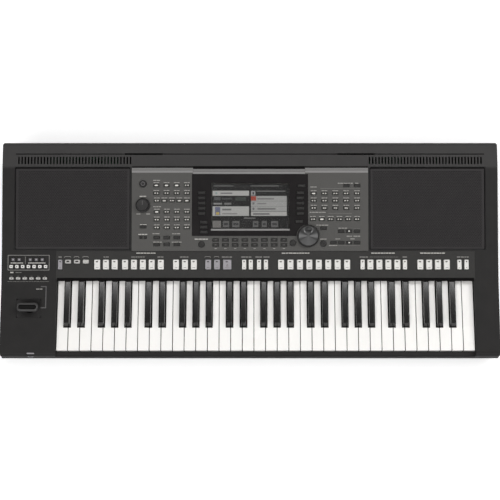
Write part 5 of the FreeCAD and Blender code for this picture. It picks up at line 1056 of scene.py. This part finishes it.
# strip captions: (middle, width) along the row, arches over the small caps, and titles above
stripInk = {
    "row": 54.0,
    "labels": [(-385.9, 6.8), (-292.4, 10.9), (-227.8, 27.2), (-181.9, 12.2), (-133.6, 17.0), (-46.9, 20.4),
               (-7.5, 20.4), (17.7, 13.6), (33.3, 12.2), (231.2, 17.0), (314.5, 8.8), (432.5, 23.8)],
    "arches": [(-370.6, 13.6), (-352.6, 10.2), (-334.2, 11.6), (-86.0, 11.6), (-68.0, 10.2)],
    "titles": [(-231.0, -192.0, 62.0), (64.6, 120.7, 62.0), (246.5, 294.0, 62.0), (346.0, 396.0, 62.0)],
    "thin": [(272.0, 57.8)], "tall": {"labels": 1.6, "titles": 2.0, "thin": 0.8},
}
row, tall = stripInk["row"], stripInk["tall"]
stripPlain = captions(centred(stripInk["labels"], row), tall["labels"])
stripPlain += [leg for x, width in stripInk["arches"] for leg in arch(x, row, width)]
stripMarks = captions(stripInk["titles"], tall["titles"])
stripDim = captions(centred(stripInk["thin"], row), tall["thin"])

# left block: a frame round the notes, brackets under the upper ones, a bar between them,
# a lamp and its caption, a line below
blockInk = {"frame": (-492.0, -407.5, 27.0, 58.0), "thick": 0.9, "divider": (-457.0, -455.8, 39.5, 55.0),
            "brackets": ((-486.0, -461.0), (-451.0, -415.5)), "bracketRun": (41.0, 42.7),
            "lamp": (-486.8, -480.4, 22.5), "caption": (-476.0, -464.0, 22.5), "line": (-492.0, -408.0, 4.2),
            "memory": (4.0, 4.4), "tall": {"lamp": 2.6, "caption": 1.4, "line": 0.7, "memory": 0.9}}
tall = blockInk["tall"]
stripPlain += outlineBars(*blockInk["frame"], blockInk["thick"])
stripMarks += [bar(*ends, *blockInk["bracketRun"]) for ends in blockInk["brackets"]]
stripMarks += captions([blockInk["lamp"]], tall["lamp"])
stripDim.append(bar(*blockInk["divider"]))
for kind in ("caption", "line"):
    stripDim += captions([blockInk[kind]], tall[kind])
memoryRows = rowsAbove(spotsOf("scale_memory_buttons", "strip"), *blockInk["memory"])
stripDim += captions(memoryRows, tall["memory"])
printed("stripPrint", "strip", (stripMarks, stripPlain, stripDim), [markInk, labelInk, dimInk])

# cheek: a bracket beside the joystick and its caption
cheekInk = {"ends": (-424.0, -412.5), "runs": (89.8, 135.0), "thick": 1.9, "caption": (-433.4, -421.0, 129.0),
            "tall": 2.0}
(left, right), (low, high), thick = cheekInk["ends"], cheekInk["runs"], cheekInk["thick"]
cheekMarks = [bar(left, right, high - thick, high), bar(left, right, low, low + thick),
              bar(right - thick, right, low + thick, high - thick)]
cheekCaption = captions([cheekInk["caption"]], cheekInk["tall"])
printed("cheekPrint", "cheek", (cheekMarks, cheekCaption), [noteButton, captionInk])
print("marks printed")

# display: a plain list screen on the module, and a sill below the window;
# a field is (x0, x1, run0, run1, tone)
screen = {
    "ground": (-76.5, 78.5, 44.0, 135.0, (15, 15, 16)), "lift": 0.05, "step": 0.004,
    "fields": [
        (-74.0, -34.0, 130.4, 131.6, 150), (1.0, 59.0, 130.4, 131.6, 150),
        (-76.2, -2.0, 111.1, 121.3, (194, 194, 192)), (-70.5, -66.5, 114.0, 118.5, (150, 170, 168)),
        (-60.0, -36.0, 114.8, 117.4, (120, 120, 122)), (2.0, 11.0, 111.5, 121.0, (168, 168, 170)),
        (5.0, 8.4, 113.5, 118.5, (60, 60, 62)), (14.0, 55.0, 113.4, 118.2, (36, 36, 38)),
        (13.0, 72.0, 119.6, 121.2, 140), (-73.0, -60.0, 102.0, 108.2, (92, 94, 96)),
        (-57.0, -36.0, 103.0, 107.0, (74, 76, 78)), (-30.0, -8.0, 101.0, 108.0, (66, 72, 68)),
        (-74.0, -57.0, 93.0, 96.5, 150), (-52.0, -38.0, 92.6, 96.8, 128),
        (-76.2, -2.0, 69.9, 89.4, (190, 191, 189)), (-71.0, -60.5, 71.5, 87.8, (112, 116, 142)),
        (-69.0, -62.5, 72.5, 77.5, (196, 176, 92)), (-56.5, -38.0, 81.0, 84.6, (116, 116, 118)),
        (-56.5, -26.0, 73.0, 75.6, 146), (2.0, 74.8, 70.0, 110.6, (174, 175, 174)),
        (2.0, 12.5, 101.0, 110.0, (176, 74, 58)), (15.0, 49.0, 103.2, 106.4, 132),
        (2.0, 74.8, 99.6, 100.4, 142), (5.0, 9.0, 93.0, 97.6, (120, 122, 122)), (15.0, 33.0, 93.6, 96.4, 138),
        (2.0, 74.8, 88.8, 89.6, 142), (5.0, 9.0, 82.0, 86.8, (112, 112, 114)), (15.0, 52.0, 82.4, 86.0, 122),
        (2.0, 74.8, 78.6, 79.6, 112), (2.0, 74.8, 70.0, 77.6, (192, 192, 190)),
        (6.0, 40.0, 72.2, 75.4, (112, 112, 114)), (-12.0, 11.0, 64.2, 66.4, 128),
        (-76.0, -59.0, 46.0, 60.0, (128, 126, 124)), (-55.0, -42.5, 47.0, 59.5, 108),
        (-36.0, -21.5, 47.0, 59.5, 110), (6.0, 17.0, 47.0, 59.5, 106), (24.0, 34.0, 47.0, 59.5, 106),
        (43.0, 57.0, 47.0, 59.5, 106),
    ],
    "labels": ((-53.0, -44.5), (-34.0, -23.5), (8.0, 15.0), (26.0, 32.0), (45.0, 55.0)),
    "labelField": (51.0, 55.5, (52, 52, 54)), "sill": [[(-79.5, 39.8, 2.6), (80.6, 43.4, 3.35)]],
    "sillEdge": {"corner": 0.4, "edge": 0.3},
}
fields = [screen["ground"], *screen["fields"], *((*ends, *screen["labelField"]) for ends in screen["labels"])]
fieldBoxes = [(*field[:4], -screen["lift"], 2 * screen["lift"] + screen["step"] * order)
              for order, field in enumerate(fields)]
tones = [paint(*np.broadcast_to(field[4], 3)) for field in fields]
picture = plate("displayPicture", "panel", fieldBoxes, screenGlow)
setTint(picture, np.repeat(tones, 8, axis=0))
pour("windowSill", "case", [(*capStack("panel", screen["sill"], screen["sillEdge"]), 0)], [trimPaint])
print("display drawn")

# painted shade: dark plates in the deck's groove, open at the music-rest slots, and along the strip's edge
# over the keys
paintedShade = {"deck": ((-477.5, -257.0), (-177.0, 177.0), (257.0, 477.5)), "deckPlate": (24.6, 26.4, -1.15, -0.1),
        "lipPlate": (5.2, 11.6, -2.2, 0.12), "lipSide": 0.6}
keyBoxes = solidBoxes("keys_c", "level")
slotShadeEnds = (keyBoxes[:, 0, 0].min() - paintedShade["lipSide"], keyBoxes[:, 1, 0].max() + paintedShade["lipSide"])
deckShadeBoxes = [(*ends, *paintedShade["deckPlate"]) for ends in paintedShade["deck"]]
plate("deckInlay", "deck", deckShadeBoxes, shadeLine)
plate("keyLip", "strip", [(*slotShadeEnds, *paintedShade["lipPlate"])], shadeLine)

# a light grey pad on the brow above the headphone socket
browPad = {"box": [[(-449.6, 7.4, -0.4), (-434.2, 10.8, 0.7)]], "corner": 1.6, "edge": 0.7}
pour("browPad", "case", [(*capStack("brow", browPad["box"], browPad), 0)], [greyButton])

# sockets: a steel collar on each round one, shells and tongues in the square ones,
# a core with five dark pads of painted shade for holes in the wide ones
socket = {"collar": ((2.4, -0.7), (2.4, -0.2), (2.1, -0.02), (0.35, -0.02), (0.05, -0.3), (0.05, -0.7)),
          "jackBore": 3.2, "inletBore": 2.8, "inletPin": (0.85, -10.3, -2.0), "core": (5.3, -10.3, -1.2),
          "pinTip": (0.4, 0.4), "coreEdge": 0.3, "coreMiddle": 0.4, "pinSides": 20, "flatFrom": 1.5,
          "shield": (6.65, 6.2, -9.0, -0.55), "holes": (3.5, 0.75), "holeHeight": 0.06, "wide": 16.0,
          "shellInsets": (0.15, 0.15, 1.1, 1.1), "shellCorners": (1.0, 1.0, 0.5, 0.5),
          "shellLifts": (-0.7, -0.05, -0.05, -0.7), "tongueLift": (-11.3, -1.6),
          "tongue": {"tall": (5.6, 3.2, 0.0), "flat": (11.0, 1.9, 0.9)}}


def collar(face, x, run, bore):
    # a looped section of (distance from the bore, lift) swept round
    return turned(face, x, run, [(bore + out, lift) for out, lift in socket["collar"]], sides, looped=True)


def shellOf(x, run, wide, tall):
    # four rounded rectangles: outer foot, outer lip, inner lip, inner foot
    inset = 2 * np.array(socket["shellInsets"])
    outlines = softCorners(wide - inset, tall - inset, np.array(socket["shellCorners"])) + (x, run)
    return stackOn("rear", withLift(outlines, socket["shellLifts"])[None], looped=True)


def dinParts(x, run):
    # a core stood in the bore, a thin shield round it and five dark pads of painted shade for holes on an arc
    coreWide, coreFoot, coreTop = socket["core"]
    outer, inner, foot, top = socket["shield"]
    holeArc, holeWide = socket["holes"]
    turn = np.radians(np.arange(0, 181, 45))
    spots = np.column_stack([x + holeArc * np.cos(turn), run - holeArc * np.sin(turn), np.full(5, coreTop)])
    edge = socket["coreEdge"]
    core = [(coreWide, coreFoot), (coreWide, coreTop - edge), (coreWide - edge, coreTop),
            (socket["coreMiddle"], coreTop)]
    shield = [(outer, foot), (outer, top), (inner, top), (inner, foot)]
    return [(*turned("rear", x, run, core, sides), 1),
            (*turned("rear", x, run, shield, sides, looped=True), 0),
            (*padMarks("rear", spots, 2 * holeWide, socket["holeHeight"], holeWide), 2)]


socketParts = []
for box in solidBoxes("audio_jacks", "rear"):
    x, run = middleOf(box)[:2]
    socketParts.append((*collar("rear", x, run, socket["jackBore"]), 0))
x, run = middleOf(solidBoxes("power_inlet", "rear")[0])[:2]
pinWide, pinFoot, pinTop = socket["inletPin"]
tipWide, tipDrop = socket["pinTip"]
pin = [(pinWide, pinFoot), (pinWide, pinTop - tipDrop), (tipWide, pinTop)]
socketParts += [(*collar("rear", x, run, socket["inletBore"]), 0),
                (*turned("rear", x, run, pin, socket["pinSides"]), 0)]
for box in solidBoxes("data_sockets", "rear"):
    x, run = middleOf(box)[:2]
    wide, tall = (box[1] - box[0])[:2]
    if wide > socket["wide"]:
        socketParts += dinParts(x, run)
    else:
        shape = "flat" if wide > socket["flatFrom"] * tall else "tall"
        tongueWide, tongueTall, rise = socket["tongue"][shape]
        tongue = (x - tongueWide / 2, x + tongueWide / 2, run - rise - tongueTall / 2,
                  run - rise + tongueTall / 2, *socket["tongueLift"])
        socketParts += [(*shellOf(x, run, wide, tall), 0), (*slabs("rear", [tongue]), 1)]
x, run = middleOf(solidBoxes("headphone_jack", "front")[0])[:2]
socketParts.append((*collar("front", x, run, socket["jackBore"]), 0))
pour("socketFittings", "case", socketParts, [bedSteel, noteButton, shadeLine])
print("sockets fitted")

# rubber feet: ringed soles, rows from the middle out to the rim and up, as (radius or inset, drop)
sole = {"middle": ((0.4, -0.5), (3.0, -0.5), (3.6, 0)), "head": ((0, 0.2), (0.2, 0)), "close": ((0.4, 0),),
        "around": 56,
        "rings": ((3.4, 0), (2.8, -0.6), (2.2, -0.6), (1.6, 0), (0.9, -0.05), (0.25, -0.5), (0, -1.2))}
footParts = []
for box in solidBoxes("rubber_feet", "level"):
    x, y, radius, low, top = middleOf(box)
    profile = [*fromAxis(low, sole["middle"]), *fromRim(radius, low, sole["rings"]),
               *fromRim(radius, top, sole["head"]), *fromAxis(top, sole["close"])]
    footParts.append((*turned("level", x, y, profile, sole["around"]), 0))
pour("rubber_feet.soles", "case", footParts, [rubberSole], ["rubber_feet"])
print("feet made")

# stage: pale floor lifted to white for the camera, soft lamps, camera at the photograph's angle
stage = {"floor": 14.0, "floorColour": (236, 236, 236), "lift": (0.45, 0.9), "fade": (0.9, 3.6),
         "floorRough": 0.9, "floorGrain": {"Grain": 60.0, "Contrast": 0.01}, "horizon": 0.45, "overhead": 0.2,
         "mirrorRise": (0.1, 0.5)}
floorMesh = bpy.data.meshes.new("floor")
corners = np.array([(-1, -1, 0), (1, -1, 0), (1, 1, 0), (-1, 1, 0)]) * stage["floor"] / 2
floorMesh.from_pydata(corners.tolist(), [], [(0, 1, 2, 3)])
floor = newObject("floor", floorMesh)


def lightPath(tree):
    # camera rays, and rays off or through a surface
    path = tree.nodes.new("ShaderNodeLightPath")
    return (path.outputs["Is Camera Ray"],
            mathNode(tree, "MAXIMUM", path.outputs["Is Glossy Ray"], path.outputs["Is Transmission Ray"]))


paleFloor = bpy.data.materials.new("paleFloor")
paleFloor.use_nodes = True
tree = paleFloor.node_tree
shader = tree.nodes["Principled BSDF"]
shader.inputs["Roughness"].default_value = stage["floorRough"]
shader.inputs["Specular IOR Level"].default_value = 0.0
speck = useGroup(tree, mouldGrain, Colour=paint(*stage["floorColour"]), **stage["floorGrain"])
tree.links.new(speck.outputs["Colour"], shader.inputs["Base Color"])
shader.inputs["Emission Color"].default_value = (1, 1, 1, 1)
away = tree.nodes.new("ShaderNodeVectorMath")
away.operation = "LENGTH"
tree.links.new(placeOf(tree), away.inputs[0])
lift = rampNode(tree, away.outputs["Value"], *stage["fade"], *stage["lift"])
seen = mathNode(tree, "MAXIMUM", *lightPath(tree))
tree.links.new(mathNode(tree, "MULTIPLY", seen, lift), shader.inputs["Emission Strength"])
floorMesh.materials.append(paleFloor)

# world: white to the camera, fading from the horizon to overhead for light;
# mirrors meet white near the horizon
world = bpy.data.worlds.new("studio")
bpy.context.scene.world = world
world.use_nodes = True
tree = world.node_tree
background = tree.nodes["Background"]
background.inputs["Color"].default_value = (1, 1, 1, 1)
rise = axisOf(tree, placeOf(tree, "Generated"), "Z")
soft = rampNode(tree, rise, 0.0, 1.0, stage["horizon"], stage["overhead"])
mirror = rampNode(tree, rise, *stage["mirrorRise"], 1.0, stage["overhead"])
cameraRay, mirrorRay = lightPath(tree)
strength = mathNode(tree, "MULTIPLY_ADD", mathNode(tree, "SUBTRACT", mirror, soft), mirrorRay, soft)
tree.links.new(mathNode(tree, "MAXIMUM", strength, cameraRay), background.inputs["Strength"])



def aimed(holder, place, way):
    # stood at the place, with its own -Z along the way it looks
    holder.location = place
    holder.rotation_euler = way.to_track_quat("-Z", "Y").to_euler()


lamps = {
    "frontLamp": {"at": (-0.7, -1.6, 2.9), "aim": (0, -0.05, 0.1), "size": (2.4, 1.6), "watts": 51},
    "sideLamp": {"at": (1.8, 0.3, 2.5), "aim": (0, 0, 0.1), "size": (1.4, 1.8), "watts": 30},
    "overLamp": {"at": (0.0, 0.555, 2.6), "aim": (0, 0.555, 0.0), "size": (2.2, 0.22), "watts": 9.5},
}
for name, lamp in lamps.items():
    light = bpy.data.lights.new(name, "AREA")
    light.shape, light.size, light.size_y = "RECTANGLE", *lamp["size"]
    light.energy = lamp["watts"]
    aimed(newObject(name, light), lamp["at"], Vector(lamp["aim"]) - Vector(lamp["at"]))

view = {"target": (0.0, -0.00135, 0.09), "distance": 2.632, "elevation": 76.757, "lens": 93.028,
        "sensor": 36.0, "clip": (0.05, 60.0)}
camera = bpy.data.cameras.new("photoView")
camera.lens, camera.sensor_width = view["lens"], view["sensor"]
camera.clip_start, camera.clip_end = view["clip"]
tilt = math.radians(view["elevation"])
back = Vector((0.0, -math.cos(tilt), math.sin(tilt)))
cameraHolder = newObject("photoView", camera)
aimed(cameraHolder, Vector(view["target"]) + back * view["distance"], -back)
bpy.context.scene.camera = cameraHolder
bpy.context.scene.view_settings.view_transform = "Standard"
print("stage set")
